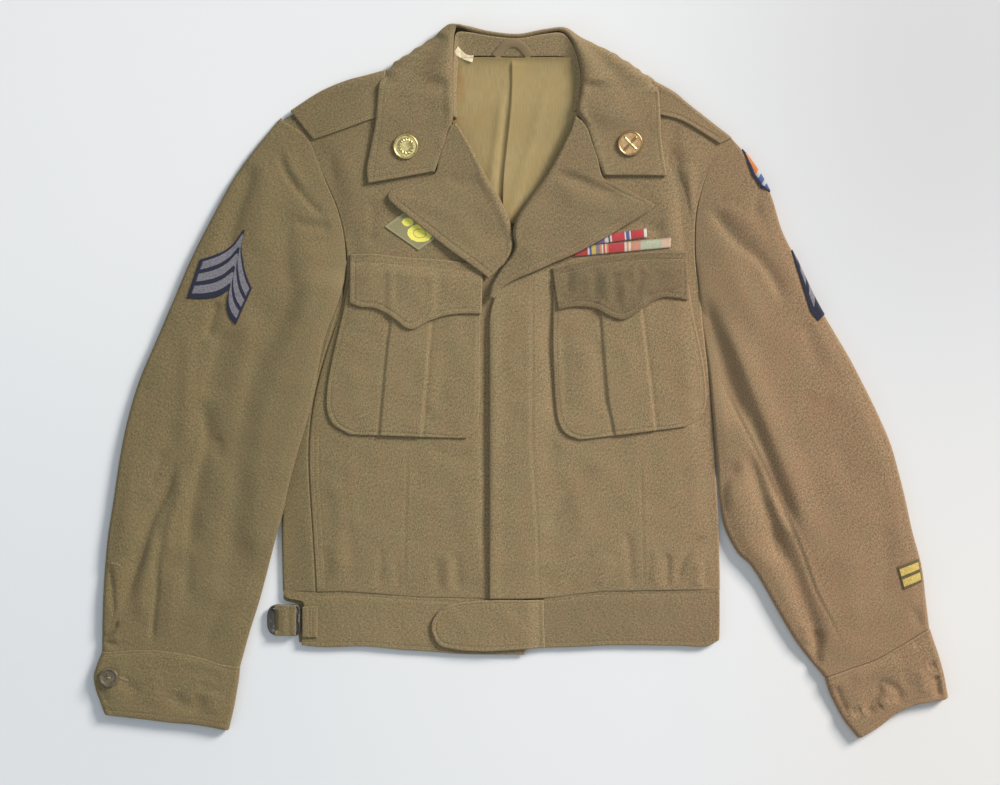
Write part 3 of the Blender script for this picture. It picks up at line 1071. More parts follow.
def lining_top(x, y):
    """Upper face of the lining: a stepped centre pleat, soft folds, and a rise to the neck seam."""
    pleat = 511.3 - 9 * ramp((y - 80) / 120)
    past = x - pleat
    rise = 2.2 * ramp((past + 0.9) / 1.8) * np.exp(-np.maximum(past, 0) / 14) * ramp((y - 59) / 8)
    rise += 1.2 * np.exp(-((past + 9 + 0.03 * (y - 90)) / 4.5) ** 2) * ramp((y - 82) / 40)
    rise -= 0.8 * np.exp(-((past + 4) / 2.4) ** 2) * ramp((y - 82) / 40)
    rise += 0.9 * np.exp(-((x - 556 + 0.30 * (y - 60)) / 6) ** 2) * ramp((y - 75) / 40)
    rise += 4.6 * np.exp(-np.maximum(y - 57.5, 0) / 6.5)
    return lift(x, y) + CLOTH + SEAM + 1.1 + rise


def lay_height(x, y, space, top_of):
    """Height of a doubled cloth's upper face where it rests on a front."""
    return top_of(x, y) + SEAM + space + DOUBLED


def inward_of(rolls, edges):
    """Unit directions across a roll line, away from the outer edge."""
    rolls, edges = np.array(rolls, float), np.array(edges, float)
    along = np.gradient(rolls, axis=0)
    across = unit(np.stack([along[:, 1], -along[:, 0]], axis=1))
    return across * np.sign(np.sum(across * (rolls - edges), axis=1, keepdims=True))


def folded_section(roll, rise, edge, space, top_of, nose, inward, seam_height=0.0):
    """Section of cloth turned at a roll and laid on the front out to its edge.

    Past the nose its height falls from the roll's to the resting one by (1 - share)^2.2.
    """
    roll, edge = np.array(roll, float), np.array(edge, float)
    points = [(*(roll + inward * reach), rise - drop) for reach, drop in nose]
    rest_at_roll = lay_height(*roll, space, top_of)
    for share in (0.0, 0.12, 0.28, 0.5, 0.75, 1.0):
        x, y = roll + (edge - roll) * share
        if seam_height:
            points.append((x, y, rise + (seam_height - rise) * share))
        else:
            base = lay_height(x, y, space, top_of)
            points.append((x, y, base + max(rise - rest_at_roll, 0.0) * (1 - share) ** 2.2))
    return points


def wrapped_section(roll, rise, rim, edge):
    """Section of the collar turned at its roll and again round the neck's edge.

    A wide fall slopes down to the rim, and a narrow one rolls straight over it. A long turn goes
    on flat under the neck, and a short one ends above the floor.
    """
    roll, rim, edge = (np.array(p, float) for p in (roll, rim, edge))
    over, reach = np.linalg.norm(rim - roll), np.linalg.norm(edge - rim)
    away, under = (rim - roll) / over, (edge - rim) / max(reach, 0.1)
    points = [(*(roll - away * inside), rise - drop) for inside, drop in COLLAR_NOSE]
    if over > WIDE_FALL:
        points += [(*roll, rise), (*(roll + away * over * 0.5), 0.45 * rise + 0.55 * FALL_MIDDLE),
                   (*(rim - away * min(4.5, 0.4 * over)), FALL_LOW)]
    else:
        points += [(*(roll + away * over * 0.25), rise), (*(rim - away * 0.8), rise - 4.0)]
    points.append((*rim, RIM_HEIGHT))
    if reach <= LONG_TURN:
        return points + [(*edge, 3.0)]
    return points + [(*(rim + under * 3.5), 0.6), (*(rim + under * 9.0), 0.0), (*edge, 0.0)]


def collar_grid(sections=330, columns=58):
    """Outer face of the collar's fall, one curved section per row round the neck."""
    aims = inward_of([row[0:2] for row in COLLAR], [row[3:5] for row in COLLAR])
    lines = []
    for k, row in enumerate(COLLAR):
        roll, rise, rim, edge, space = row[0:2], row[2], row[3:5], row[5:7], row[7]
        gorge = k < GORGE_ROWS or k >= len(COLLAR) - GORGE_ROWS
        if edge[0] == 0:
            points = folded_section(roll, rise, rim, space, front_top,
                                    GORGE_NOSE if gorge else COLLAR_NOSE, aims[k])
        else:
            points = wrapped_section(roll, rise, rim, edge)
        lines.append(curve(points, columns, 1.1))
    flat = fill(np.array(lines).reshape(len(COLLAR), -1), np.linspace(0.0035, 0.9965, sections))
    grid = flat.reshape(sections, columns, 3)
    grid[..., 2] = np.maximum(grid[..., 2], 0.0)
    return grid


def lapel_grid(table, top_of, sections, columns=78):
    """Outer face of a lapel folded back at its roll, one section per row down the front."""
    aims = inward_of([row[0:2] for row in table], [row[3:5] for row in table])
    lines = [curve(folded_section(row[0:2], row[2], row[3:5], row[5], top_of, LAPEL_NOSE, aim, row[6]),
                   columns, 1.1) for row, aim in zip(table, aims)]
    stations = np.linspace(0.005, 0.995, sections)
    return fill(np.array(lines).reshape(len(table), -1), stations).reshape(sections, columns, 3)


def stand_grid(sections=200, columns=16):
    """Inner face of the collar's stand, straight from its top to the neck seam."""
    rows = fill(STAND, np.linspace(0.003, 0.997, sections))
    t = np.linspace(0.04, 0.96, columns)[None, :, None]
    return rows[:, None, :3] * (1 - t) + rows[:, None, 3:] * t


def ride(x, y):
    """Rise of the right sleeve's under side where it lies over the body."""
    over = ramp((x - level(RIGHT_EDGE, y) + 50) / 28)
    return (2 * CLOTH + 2 * SEAM) * over * ramp((y - 266) / 24) * ramp((575 - y) / 40)


def no_rise(x, y):
    """The flat floor."""
    return np.zeros(np.shape(x))


def ring_directions(top, bend, bottom):
    """Round a flattened ring: share of the way across, sideways and upward reach.

    The straight runs lie at -1 and 1, and each bend is half a circle between them.
    """
    angle = np.linspace(-math.pi / 2, math.pi / 2, bend + 2)[1:-1]
    near, far = np.linspace(0, 1, bottom), np.linspace(1, 0, top)
    zero, one = np.zeros(bend), np.ones(bend)
    return np.concatenate([
        np.stack([near, 0 * near, 0 * near - 1], axis=1),
        np.stack([one, np.cos(angle), np.sin(angle)], axis=1),
        np.stack([far, 0 * far, 0 * far + 1], axis=1),
        np.stack([zero, -np.cos(angle), -np.sin(angle)], axis=1)])


def tube_grids(table, table_folds, lower, head, tail, rings, wall, reach, crown, seed):
    """Outer and inner faces of a flattened tube: rings by columns.

    The ring's plan is a straight run across plus half its height sideways at the bends. Its end
    rings move onto the seams there. Folds sink or raise the upper face in full, and the under
    side by a small share upward.
    """
    aim = ring_directions(RING_TOP, RING_BEND, RING_BOTTOM)
    along = np.linspace(0.0018, 0.9982, rings)
    rows = fill(table, along)
    across = rows[:, 2:4] - rows[:, 0:2]
    width = np.linalg.norm(across, axis=1)
    aside = across / width[:, None]
    height = rows[:, 4]
    radius = height / 2
    share = (radius[:, None] + aim[:, 0] * (width - 2 * radius)[:, None]) / width[:, None]
    middle = rows[:, None, 0:2] + share[..., None] * across[:, None, :]
    stations = np.linspace(0, 1, 61)
    for line, weight, k in ((head, ramp(1 - along / reach), 0),
                            (tail, ramp(1 - (1 - along) / reach), -1)):
        seam = curve(line, len(stations))
        bent = np.stack([np.interp(share[k], stations, seam[:, i]) for i in (0, 1)], axis=1)
        middle = middle + weight[:, None, None] * (bent - middle[k])[None]
    x, y = middle[..., 0], middle[..., 1]
    relief = folds(table_folds, x, y, 1.4) + rumple(x, y, seed)
    fade = (ramp(along / 0.05) * ramp((1 - along) / 0.03))[:, None]
    side = ramp(np.minimum(share, 1 - share) * width[:, None] / 16)
    relief = relief * fade + crown * side * ramp(along / 0.2)[:, None] * ramp((1 - along) / 0.1)[:, None]
    room = np.maximum(relief, 2.2 + wall - height[:, None])
    upper = np.clip(aim[:, 2], 0, 1) ** 0.5 * room
    under = np.clip(-aim[:, 2], 0, 1) * np.clip(-relief, 0, 2.0) * 0.25
    base = lower(x, y)
    faces = []
    for inset in (0.0, wall):
        size = (radius - inset)[:, None]
        plan = middle + (size * aim[:, 1])[..., None] * aside[:, None, :]
        faces.append(with_height(plan, base + radius[:, None] + size * aim[:, 2] + upper + under))
    return faces


def girths(grid):
    """Steps round the rings of a tube, and each ring's whole girth."""
    step = np.linalg.norm(np.diff(grid, axis=1, append=grid[:, :1]), axis=2)
    return step, step.sum(axis=1, keepdims=True)


def ring_uv(grid):
    """Cloth coordinates in metres of a tube: shares of each ring's girth times the mean girth."""
    step, girth = girths(grid)
    share = np.concatenate([np.zeros((len(grid), 1)), np.cumsum(step, axis=1)[:, :-1]], axis=1) / girth
    mean = girth.mean() * MM
    along = np.linalg.norm(np.diff(grid, axis=0), axis=2).mean(axis=1)
    v = np.concatenate([[0.0], np.cumsum(along)])[:, None] * MM
    return np.stack([share * mean, np.broadcast_to(v, share.shape)], axis=-1)


def share_uv(grid):
    """Shares from 0 to 1 along a grid's rows and columns."""
    rows, cols = (np.linspace(0, 1, count) for count in grid.shape[:2])
    return np.stack(np.meshgrid(rows, cols, indexing="ij"), axis=-1)


def pleat_rise(x, y, lines, soft=2.6, wider=0.0):
    """Extra thickness of the pleat between its two pressed folds."""
    left, right = level(lines[0], y) - wider, level(lines[1], y) + wider
    step = PLEAT_RISE * ramp((x - left) / soft + 0.5) * ramp((right - x) / soft + 0.5)
    dip = 0.5 * (np.exp(-((x - left + 2.4) / 1.5) ** 2) + np.exp(-((right + 2.4 - x) / 1.5) ** 2))
    return step - dip * (wider == 0)


def band_top(x, y):
    """Upper face of the front waistband."""
    swell = ramp((y - 592) / 12) * ramp((656 - y) / 12)
    return 2 * BAND + SEAM + 0.8 * swell + rumple(x, y, 11, 38.0, 0.16) * swell


def strap_grid(table, sections, columns=44):
    """Upper face of a shoulder strap that turns down over the shoulder's edge."""
    lines = []
    for low_x, low_y, rim_x, rim_y in fill(table, np.linspace(0, 1, 12)):
        low, rim = np.array([low_x, low_y]), np.array([rim_x, rim_y])
        length = np.linalg.norm(rim - low)
        points = []
        for share in (0.0, 0.33, 0.66, 1 - 2.6 / length):
            x, y = low + (rim - low) * share
            points.append((x, y, float(front_top(x, y)) + 1.5 * SEAM + CLOTH))
        crest = points[-1][2]
        points += [(*(low + (rim - low) * (1 - 0.7 / length)), crest - 1.3), (*rim, crest - 3.4),
                   (*rim, max(crest - 5.6, 1.0))]
        lines.append(curve(points, columns, 0.9))
    stations = np.linspace(0.015, 0.985, sections)
    return fill(np.array(lines).reshape(len(lines), -1), stations).reshape(sections, columns, 3)


def on_grid(grid, row, column):
    """Point of a grid at a share of its rows and of its columns, blended from four corners."""
    row, column = np.asarray(row) * (len(grid) - 1), np.asarray(column) * (grid.shape[1] - 1)
    r = np.clip(row.astype(int), 0, len(grid) - 2)
    c = np.clip(column.astype(int), 0, grid.shape[1] - 2)
    u, v = (row - r)[..., None], (column - c)[..., None]
    return (grid[r, c] * (1 - u) * (1 - v) + grid[r + 1, c] * u * (1 - v)
            + grid[r, c + 1] * (1 - u) * v + grid[r + 1, c + 1] * u * v)


def seated(grid, x, y, radius):
    """Centre and normal of a flat seat that just clears a surface round a point."""
    points = grid.reshape(-1, 3)
    near = points[np.hypot(points[:, 0] - x, points[:, 1] - y) < radius * 1.35]
    system = np.stack([near[:, 0] - x, near[:, 1] - y, np.ones(len(near))], axis=1)
    slope_x, slope_y, height = np.linalg.lstsq(system, near[:, 2], rcond=None)[0]
    clear = np.max(near[:, 2] - system @ np.array([slope_x, slope_y, height]))
    normal = np.array([-slope_x, -slope_y, 1.0])
    return np.array([x, y, height + max(clear, 0.0) + 0.2]), normal / np.linalg.norm(normal)


def turned_grid(centre, normal, profile, around=72, relief=None):
    """Points of a turned piece: radius and height pairs about a normal, in even rings."""
    side = np.cross(normal, (0.0, 1.0, 0.0))
    side = side / np.linalg.norm(side)
    other = np.cross(normal, side)
    angle = np.linspace(0, 2 * math.pi, around, endpoint=False)[None, :]
    radius, height = (np.array(profile, float)[:, k:k + 1] for k in (0, 1))
    height = np.broadcast_to(height, (len(profile), around)).copy()
    if relief is not None:
        height += relief(radius, angle)
    return (centre + (radius * np.cos(angle))[..., None] * side
            + (radius * np.sin(angle))[..., None] * other + height[..., None] * normal)


# ---------------------------------------------------------------- finishes


class Wire:
    """One socket of a finish's graph; arithmetic on it adds the nodes that work it out."""

    def __init__(self, shade, socket):
        self.shade, self.socket = shade, socket

    def __add__(self, other):
        return self.shade.math("ADD", self, other)

    __radd__ = __add__

    def __sub__(self, other):
        return self.shade.math("SUBTRACT", self, other)

    def __rsub__(self, other):
        return self.shade.math("SUBTRACT", other, self)

    def __mul__(self, other):
        return self.shade.math("MULTIPLY", self, other)

    __rmul__ = __mul__

    def __truediv__(self, other):
        return self.shade.math("DIVIDE", self, other)

    def __abs__(self):
        return self.shade.math("ABSOLUTE", self, 0.0)


class Shade:
    """The node graph of one finish."""

    def __init__(self, name, roughness=0.8, **constants):
        self.material = bpy.data.materials.new(name)
        self.material.use_nodes = True
        self.tree = self.material.node_tree
        self.shader = self.tree.nodes["Principled BSDF"]
        self.shader.inputs["Roughness"].default_value = roughness
        for socket, value in constants.items():
            self.shader.inputs[socket.replace("_", " ")].default_value = value

    def node(self, kind, settings=(), values=(), out=0):
        """Add a node: its settings first, then values or wires by socket; returns one output."""
        made = self.tree.nodes.new(kind)
        for key, value in dict(settings).items():
            setattr(made, key, value)
        for key, value in dict(values).items():
            self.put(made.inputs[key], value)
        return Wire(self, made.outputs[out])

    def put(self, socket, value):
        """Wire or set one socket."""
        if isinstance(value, Wire):
            self.tree.links.new(value.socket, socket)
        elif isinstance(value, tuple) and len(value) == 3 and socket.type == "RGBA":
            socket.default_value = (*value, 1.0)
        else:
            socket.default_value = value

    def math(self, operation, first, second):
        """Number arithmetic."""
        return self.node("ShaderNodeMath", {"operation": operation}, {0: first, 1: second})

    def within(self, value, low, high, bottom=0.0, top=1.0):
        """A value's range mapped smoothly on to another one."""
        return self.node("ShaderNodeMapRange", {"interpolation_type": "SMOOTHSTEP"},
                         {"Value": value, "From Min": low, "From Max": high,
                          "To Min": bottom, "To Max": top})

    def mix(self, share, first, second, kind="MIX"):
        """Two colours mixed by a share."""
        return self.node("ShaderNodeMix", {"data_type": "RGBA", "blend_type": kind},
                         {"Factor": share, 6: first, 7: second}, 2)

    def cloth(self, scale=1000.0, turn=0.0, stretch=1.0):
        """The piece's cloth coordinates, in millimetres or another scale, turned and stretched."""
        flat = self.node("ShaderNodeUVMap", {"uv_map": "cloth"})
        turned = self.node("ShaderNodeMapping", {}, {"Vector": flat, "Rotation": (0.0, 0.0, turn)})
        return self.node("ShaderNodeVectorMath", {"operation": "MULTIPLY"},
                         {0: turned, 1: (scale, scale * stretch, scale)})

    def shares(self):
        """The two shares along a badge's rows and columns."""
        share = self.node("ShaderNodeUVMap", {"uv_map": "cloth"})
        return self.part(share, 0), self.part(share, 1)

    def twisted(self, spot, fuzz, x, y, pitch):
        """Embroidery threads side by side along a direction in the plan, their edges fuzzy."""
        return self.ribs(self.part(spot, 0) * x + self.part(spot, 1) * y, pitch, (fuzz - 0.5) * 0.3)

    def place(self, scale=1000.0):
        """The place on the whole garment, in millimetres."""
        spot = self.node("ShaderNodeTexCoord", out=3)
        return self.node("ShaderNodeVectorMath", {"operation": "SCALE"}, {0: spot, "Scale": scale})

    def noise(self, at, size, detail=2.0, rough=0.5, twist=0.0):
        """Cloudy values about 0.5 with features of a size, in the coordinates' own unit."""
        return self.node("ShaderNodeTexNoise", {}, {
            "Vector": at, "Scale": 1.0 / size, "Detail": detail, "Roughness": rough, "Distortion": twist})

    def part(self, vector, axis):
        """One number of a vector."""
        return self.node("ShaderNodeSeparateXYZ", {}, {0: vector}, axis)

    def ribs(self, along, pitch, wander=0.0):
        """A wave from 0 to 1 that repeats every pitch."""
        return self.math("SINE", (along + wander) * (2 * math.pi / pitch), 0.0) * 0.5 + 0.5

    def bands(self, share, stops, blend="CONSTANT"):
        """Flat or blended bands of colour along a share: (start, colour) pairs."""
        made = self.tree.nodes.new("ShaderNodeValToRGB")
        ramp_of = made.color_ramp
        ramp_of.interpolation = blend
        for made_already, (start, colour) in zip(ramp_of.elements[:], stops):
            made_already.position, made_already.color = start, (*colour, 1)
        for start, colour in stops[2:]:
            ramp_of.elements.new(start).color = (*colour, 1)
        self.put(made.inputs[0], share)
        return Wire(self, made.outputs[0])

    def finish(self, colour, height=None, depth=0.0001, strength=0.6, roughness=None, metallic=None):
        """Lead the results into the shader."""
        self.put(self.shader.inputs["Base Color"], colour)
        if roughness is not None:
            self.put(self.shader.inputs["Roughness"], roughness)
        if metallic is not None:
            self.put(self.shader.inputs["Metallic"], metallic)
        if height is not None:
            relief = {"Height": height, "Distance": depth, "Strength": strength}
            self.put(self.shader.inputs["Normal"], self.node("ShaderNodeBump", {}, relief))
        return self.material


def shaded(colour, share):
    """A colour times a share, or times one for each of its parts."""
    shares = share if isinstance(share, tuple) else (share,) * 3
    return tuple(c * s for c, s in zip(colour, shares))


def wool_finish(name, colour):
    """Napped olive wool serge: steep twill ribs under mottled fibres, with rust and green hairs.

    The tints go on in turn: both hairs, reddish and greenish clouds, worn patches, rubbed edges,
    then the fading of age from the wearer's right to the left and a slight one towards the neck.
    """
    s = Shade(name, 0.88, Sheen_Weight=0.22, Sheen_Roughness=0.55, Sheen_Tint=(0.86, 0.80, 0.62, 1),
              Specular_IOR_Level=0.18)
    at = s.cloth()
    twill = s.ribs(s.part(s.cloth(1000.0, 0.62), 0), 0.95, (s.noise(at, 9.0, 2.0) - 0.5) * 1.2)
    yarn = s.noise(s.cloth(1000.0, 0.62, 0.45), 0.8, 3.0, 0.65)
    hair = s.noise(s.cloth(1000.0, -0.35, 0.22), 0.55, 2.0, 0.7)
    fleck = s.noise(s.cloth(1000.0, 1.9, 0.3), 0.9, 2.0, 0.6)
    cloud = s.noise(s.cloth(1000.0, 0.0, 0.45), 17.0, 3.0, 0.55)
    worn = s.noise(s.place(), 60.0, 2.0, 0.5)
    grain = s.noise(s.cloth(1000.0, 0.4, 0.6), 1.5, 3.0, 0.7)
    wear = s.node("ShaderNodeAttribute", {"attribute_name": "wear"}, out=2)
    rubbed = s.within(wear, 0.1, 0.95) * s.within(s.noise(at, 1.6, 2.0), 0.36, 0.62) * 0.42
    tone = (yarn - 0.5) * 2.1 + (hair - 0.5) * 1.0 + (twill - 0.5) * 0.3 + (grain - 0.5) * 2.3
    base = s.mix(s.within(tone, -0.62, 0.62), shaded(colour, 0.49), shaded(colour, 1.55))
    for share, tint in (
            (s.within(fleck, 0.58, 0.76, 0.0, 0.34), (1.42, 0.98, 0.82)),
            (s.within(fleck, 0.42, 0.26, 0.0, 0.34), (0.72, 0.95, 0.82)),
            (s.within(cloud, 0.40, 0.66, 0.0, 0.26), (1.16, 0.96, 0.92)),
            (s.within(cloud, 0.50, 0.30, 0.0, 0.30), (0.86, 0.98, 0.90)),
            (s.within(worn, 0.36, 0.68, 0.0, 0.16), 1.25),
            (rubbed, (1.75, 1.75, 1.8))):
        base = s.mix(share, base, shaded(colour, tint))
    aged = s.bands(s.part(s.place(1.0), 0) * 1.25 + 0.5, FADING, "EASE")
    base = s.mix(1.0, base, aged, "MULTIPLY")
    toward_neck = s.within(s.part(s.place(1.0), 1), 0.08, 0.20)
    base = s.mix(toward_neck, base, (0.93, 0.93, 0.93), "MULTIPLY")
    height = twill * 0.35 + yarn * 0.9 + hair * 0.5 + grain * 0.8
    return s.finish(base, height, 0.00028, 0.75, s.within(hair, 0.3, 0.7, 0.82, 0.94))


def lining_finish(name, colour):
    """Cotton twill of the lining and its tape: close slanting ribs, slubs and soft stains."""
    s = Shade(name, 0.8, Sheen_Weight=0.08, Sheen_Roughness=0.5, Specular_IOR_Level=0.22)
    at = s.cloth()
    twill = s.ribs(s.part(s.cloth(1000.0, 0.9), 0), 0.62, (s.noise(at, 6.0) - 0.5) * 0.8)
    slub = s.noise(s.cloth(1000.0, 0.0, 0.07), 0.9, 2.0, 0.6)
    stain = s.noise(s.place(), 26.0, 3.0, 0.55)
    x = s.part(s.place(), 0)
    rust = s.within(x, -52.0, -64.0) * s.within(s.noise(s.place(), 15.0, 3.0), 0.38, 0.60)
    tone = s.within(slub * 0.7 + twill * 0.3, 0.25, 0.72)
    base = s.mix(tone, shaded(colour, 0.80), shaded(colour, 1.17))
    base = s.mix(s.within(stain, 0.42, 0.68, 0.0, 0.30), base, shaded(colour, (1.03, 0.92, 0.75)))
    base = s.mix(rust * 0.55, base, shaded(colour, (0.85, 0.55, 0.36)))
    return s.finish(base, twill * 0.6 + slub * 0.6, 0.00012, 0.6)


def thread_finish(name, colour):
    """Twisted sewing thread: fine slanting plies."""
    s = Shade(name, 0.62, Specular_IOR_Level=0.3)
    at = s.place()
    ply = s.ribs(s.part(at, 0) + s.part(at, 1) * 0.8, 0.42)
    tone = s.noise(at, 3.0, 2.0, 0.6)
    base = s.mix(s.within(ply * 0.5 + tone * 0.5, 0.3, 0.7), shaded(colour, 0.74), shaded(colour, 1.22))
    return s.finish(base, ply, 0.00005, 0.5)


def metal_finish(name, colour, dull, roughness):
    """Old stamped metal: bright where rubbed, dull and brownish in its hollows."""
    s = Shade(name, roughness)
    at = s.place()
    cloud = s.noise(at, 5.0, 4.0, 0.6)
    scratch = s.noise(at, 0.7, 3.0, 0.7)
    hollow = s.node("ShaderNodeNewGeometry", out=7)
    tarnish = s.within(hollow, 0.50, 0.44) * 0.65 + s.within(cloud, 0.42, 0.68, 0.0, 0.55)
    base = s.mix(tarnish, colour, dull)
    rough = s.within(cloud * 0.6 + scratch * 0.4, 0.3, 0.7, roughness - 0.08, roughness + 0.16)
    return s.finish(base, scratch, 0.00005, 0.25, rough, 1.0)


def painted_finish(name, paint, bare):
    """Blackened wire, rubbed to dull metal in places."""
    s = Shade(name, 0.5)
    at = s.place()
    chips = s.within(s.noise(at, 3.2, 4.0, 0.65), 0.50, 0.60) * s.within(s.noise(at, 14.0), 0.40, 0.55)
    base = s.mix(chips, s.mix(s.noise(at, 1.2, 3.0), shaded(paint, 0.8), shaded(paint, 1.3)), bare)
    rough = s.within(chips, 0, 1, 0.56, 0.42)
    return s.finish(base, s.noise(at, 0.8, 3.0), 0.00006, 0.4, rough, chips * 0.7)


def button_finish(name, colour):
    """Moulded olive-brown plastic with pale swirls and a worn rim."""
    s = Shade(name, 0.38)
    at = s.place()
    swirl = s.noise(at, 4.5, 3.0, 0.55, 1.4)
    speck = s.noise(at, 0.9, 2.0, 0.6)
    base = s.mix(s.within(swirl, 0.35, 0.65), shaded(colour, 0.72), shaded(colour, 1.35))
    base = s.mix(s.within(speck, 0.62, 0.75, 0.0, 0.4), base, shaded(colour, 1.9))
    return s.finish(base, speck, 0.00004, 0.3, s.within(swirl, 0.3, 0.7, 0.32, 0.48))


def ribbon_finish(name, stops):
    """Ribbed silk ribbon in plain upright stripes, soiled a little at its edges."""
    s = Shade(name, 0.55, Sheen_Weight=0.15, Sheen_Roughness=0.4, Specular_IOR_Level=0.3)
    u, v = s.shares()
    rib = s.ribs(v, 0.075)
    soil = s.noise(s.place(), 2.6, 3.0, 0.6)
    base = s.bands(u, stops)
    base = s.mix(s.within(soil, 0.45, 0.72, 0.0, 0.25), base, (0.16, 0.11, 0.07))
    base = s.mix(s.within(abs(v - 0.5), 0.36, 0.5, 0.0, 0.35), base, (0.10, 0.07, 0.05))
    base = s.mix(rib * 0.07, base, (0.9, 0.86, 0.8))
    return s.finish(base, rib * 0.7 + s.noise(s.place(), 0.6) * 0.4, 0.00010, 0.6)


def felt_finish(name, field, stops, slant=0.0, axis=1, raised_by_thread=0.8, margin=0.025):
    """Felt patch with bands of embroidery: (start, colour, 1 if it is embroidered).

    The bands stop at a margin from the ends of the other axis.
    """
    s = Shade(name, 0.85, Sheen_Weight=0.15, Sheen_Roughness=0.5, Specular_IOR_Level=0.2)
    shares = s.shares()
    spot = s.place()
    wander = (s.noise(spot, 3.0, 2.0) - 0.5) * 0.018
    across = shares[axis] + wander + shares[1 - axis] * slant
    colours = s.bands(across, [(start, colour) for start, colour, _ in stops])
    raised = s.bands(across, [(start, (float(sewn),) * 3) for start, _, sewn in stops])
    fuzz = s.noise(spot, 0.9, 3.0, 0.65)
    strand = s.twisted(spot, fuzz, 0.8, -0.6, 0.55)
    gaps = s.within(s.noise(spot, 1.5, 3.0, 0.7), 0.40, 0.62, 0.0, 0.75)
    sewn = s.mix(s.within(strand * 0.5 + fuzz * 0.5, 0.3, 0.7), s.mix(0.5, colours, field), colours)
    sewn = s.mix(gaps * 0.6, sewn, shaded(field, 1.5))
    other = shares[1 - axis] + wander
    shown = s.part(raised, 0) * s.within(other, margin, margin + 0.02) * s.within(other, 0.985, 0.965)
    base = s.mix(shown, s.mix(fuzz, shaded(field, 0.55), shaded(field, 1.6)), sewn)
    height = fuzz * 0.6 + shown * (strand * 0.4 + raised_by_thread)
    return s.finish(base, height, 0.00022, 0.7)


def diamond_finish(name, field, motif):
    """Olive cloth diamond with a corded border and plain yellow rounds sewn on it."""
    s = Shade(name, 0.85, Sheen_Weight=0.1, Sheen_Roughness=0.5)
    u, v = s.shares()
    spot = s.place()
    fuzz = s.noise(spot, 0.8, 3.0, 0.65)
    uneven = (s.noise(spot, 2.4, 2.0) - 0.5) * 2.2

    def from_point(u_centre, v_centre):
        a, b = (u - u_centre) * DIAMOND_SIZE[0], (v - v_centre) * DIAMOND_SIZE[1]
        return s.math("SQRT", a * a + b * b, 0.0) + uneven

    large, small = from_point(0.669, 0.553), from_point(0.253, 0.637)
    line = s.within(large, 4.6, 5.2) * s.within(large, 6.6, 6.0)
    mask = s.math("MAXIMUM", s.within(large, 11.2, 10.6) * (1 - line * 0.6), s.within(small, 5.4, 4.8))
    edge = s.within(s.math("MAXIMUM", abs(u - 0.5), abs(v - 0.5)), 0.455, 0.47)
    strand = s.twisted(spot, fuzz, 1.0, 0.3, 0.5)
    base = s.mix(fuzz, shaded(field, 0.6), shaded(field, 1.5))
    base = s.mix(edge * 0.5, base, shaded(field, 1.6))
    sewn = s.mix(s.within(strand * 0.5 + fuzz * 0.5, 0.25, 0.75), shaded(motif, 0.74), motif)
    base = s.mix(mask, base, sewn)
    height = fuzz * 0.5 + mask * (strand * 0.4 + 0.8) + edge * 0.5
    return s.finish(base, height, 0.0002, 0.7)


def round_patch_finish(name, rim, stops):
    """Embroidered round shoulder patch in plain rings of colour inside a dark rim."""
    s = Shade(name, 0.8, Sheen_Weight=0.1, Sheen_Roughness=0.5)
    u, v = s.shares()
    spot = s.place()
    fuzz = s.noise(spot, 0.8, 3.0, 0.65)
    edge = s.math("MAXIMUM", abs(u - 0.5), abs(v - 0.5)) + (s.noise(spot, 2.0, 2.0) - 0.5) * 0.03
    colours = s.bands(v + (s.noise(spot, 5.0, 2.0) - 0.5) * 0.08, stops)
    strand = s.twisted(spot, fuzz, 0.7, 0.7, 0.55)
    dark = s.mix(0.55, colours, (0.02, 0.02, 0.04))
    base = s.mix(s.within(strand * 0.5 + fuzz * 0.5, 0.25, 0.75), dark, colours)
    base = s.mix(s.within(edge, 0.44, 0.47), base, rim)
    base = s.mix(s.within(u, 0.24, 0.16), base, rim)
    return s.finish(base, fuzz * 0.5 + strand * 0.5, 0.0002, 0.7)


def label_finish(name, colour):
    """Woven cream tape, bare."""
    s = Shade(name, 0.7)
    spot = s.place()
    weave = s.ribs(s.part(spot, 0), 0.5) * s.ribs(s.part(spot, 1), 0.5)
    base = s.mix(s.within(s.noise(spot, 2.5, 3.0), 0.35, 0.7), colour, shaded(colour, 0.72))
    return s.finish(base, weave + s.noise(spot, 0.8), 0.0001, 0.5)


def floor_finish(name, colour):
    """Pale matt studio floor."""
    s = Shade(name, 0.9, Specular_IOR_Level=0.1)
    spot = s.place(1.0)
    x, y = s.part(spot, 0), s.part(spot, 1)
    far = s.within(x, 0.0, 0.44) * s.within(y, -0.28, 0.34)
    near = s.within(x, 0.0, -0.42) * s.within(y, 0.20, -0.30)
    base = s.mix(s.noise(spot, 0.5, 2.0), shaded(colour, 0.985), shaded(colour, 1.015))
    base = s.mix(far, base, (0.80, 0.785, 0.785), "MULTIPLY")
    base = s.mix(near, base, (0.93, 0.94, 0.95), "MULTIPLY")
    warm = s.within(x, 0.1, 0.42) * s.within(y, 0.1, -0.3)
    return s.finish(s.mix(warm, base, (1.0, 0.965, 0.93), "MULTIPLY"))


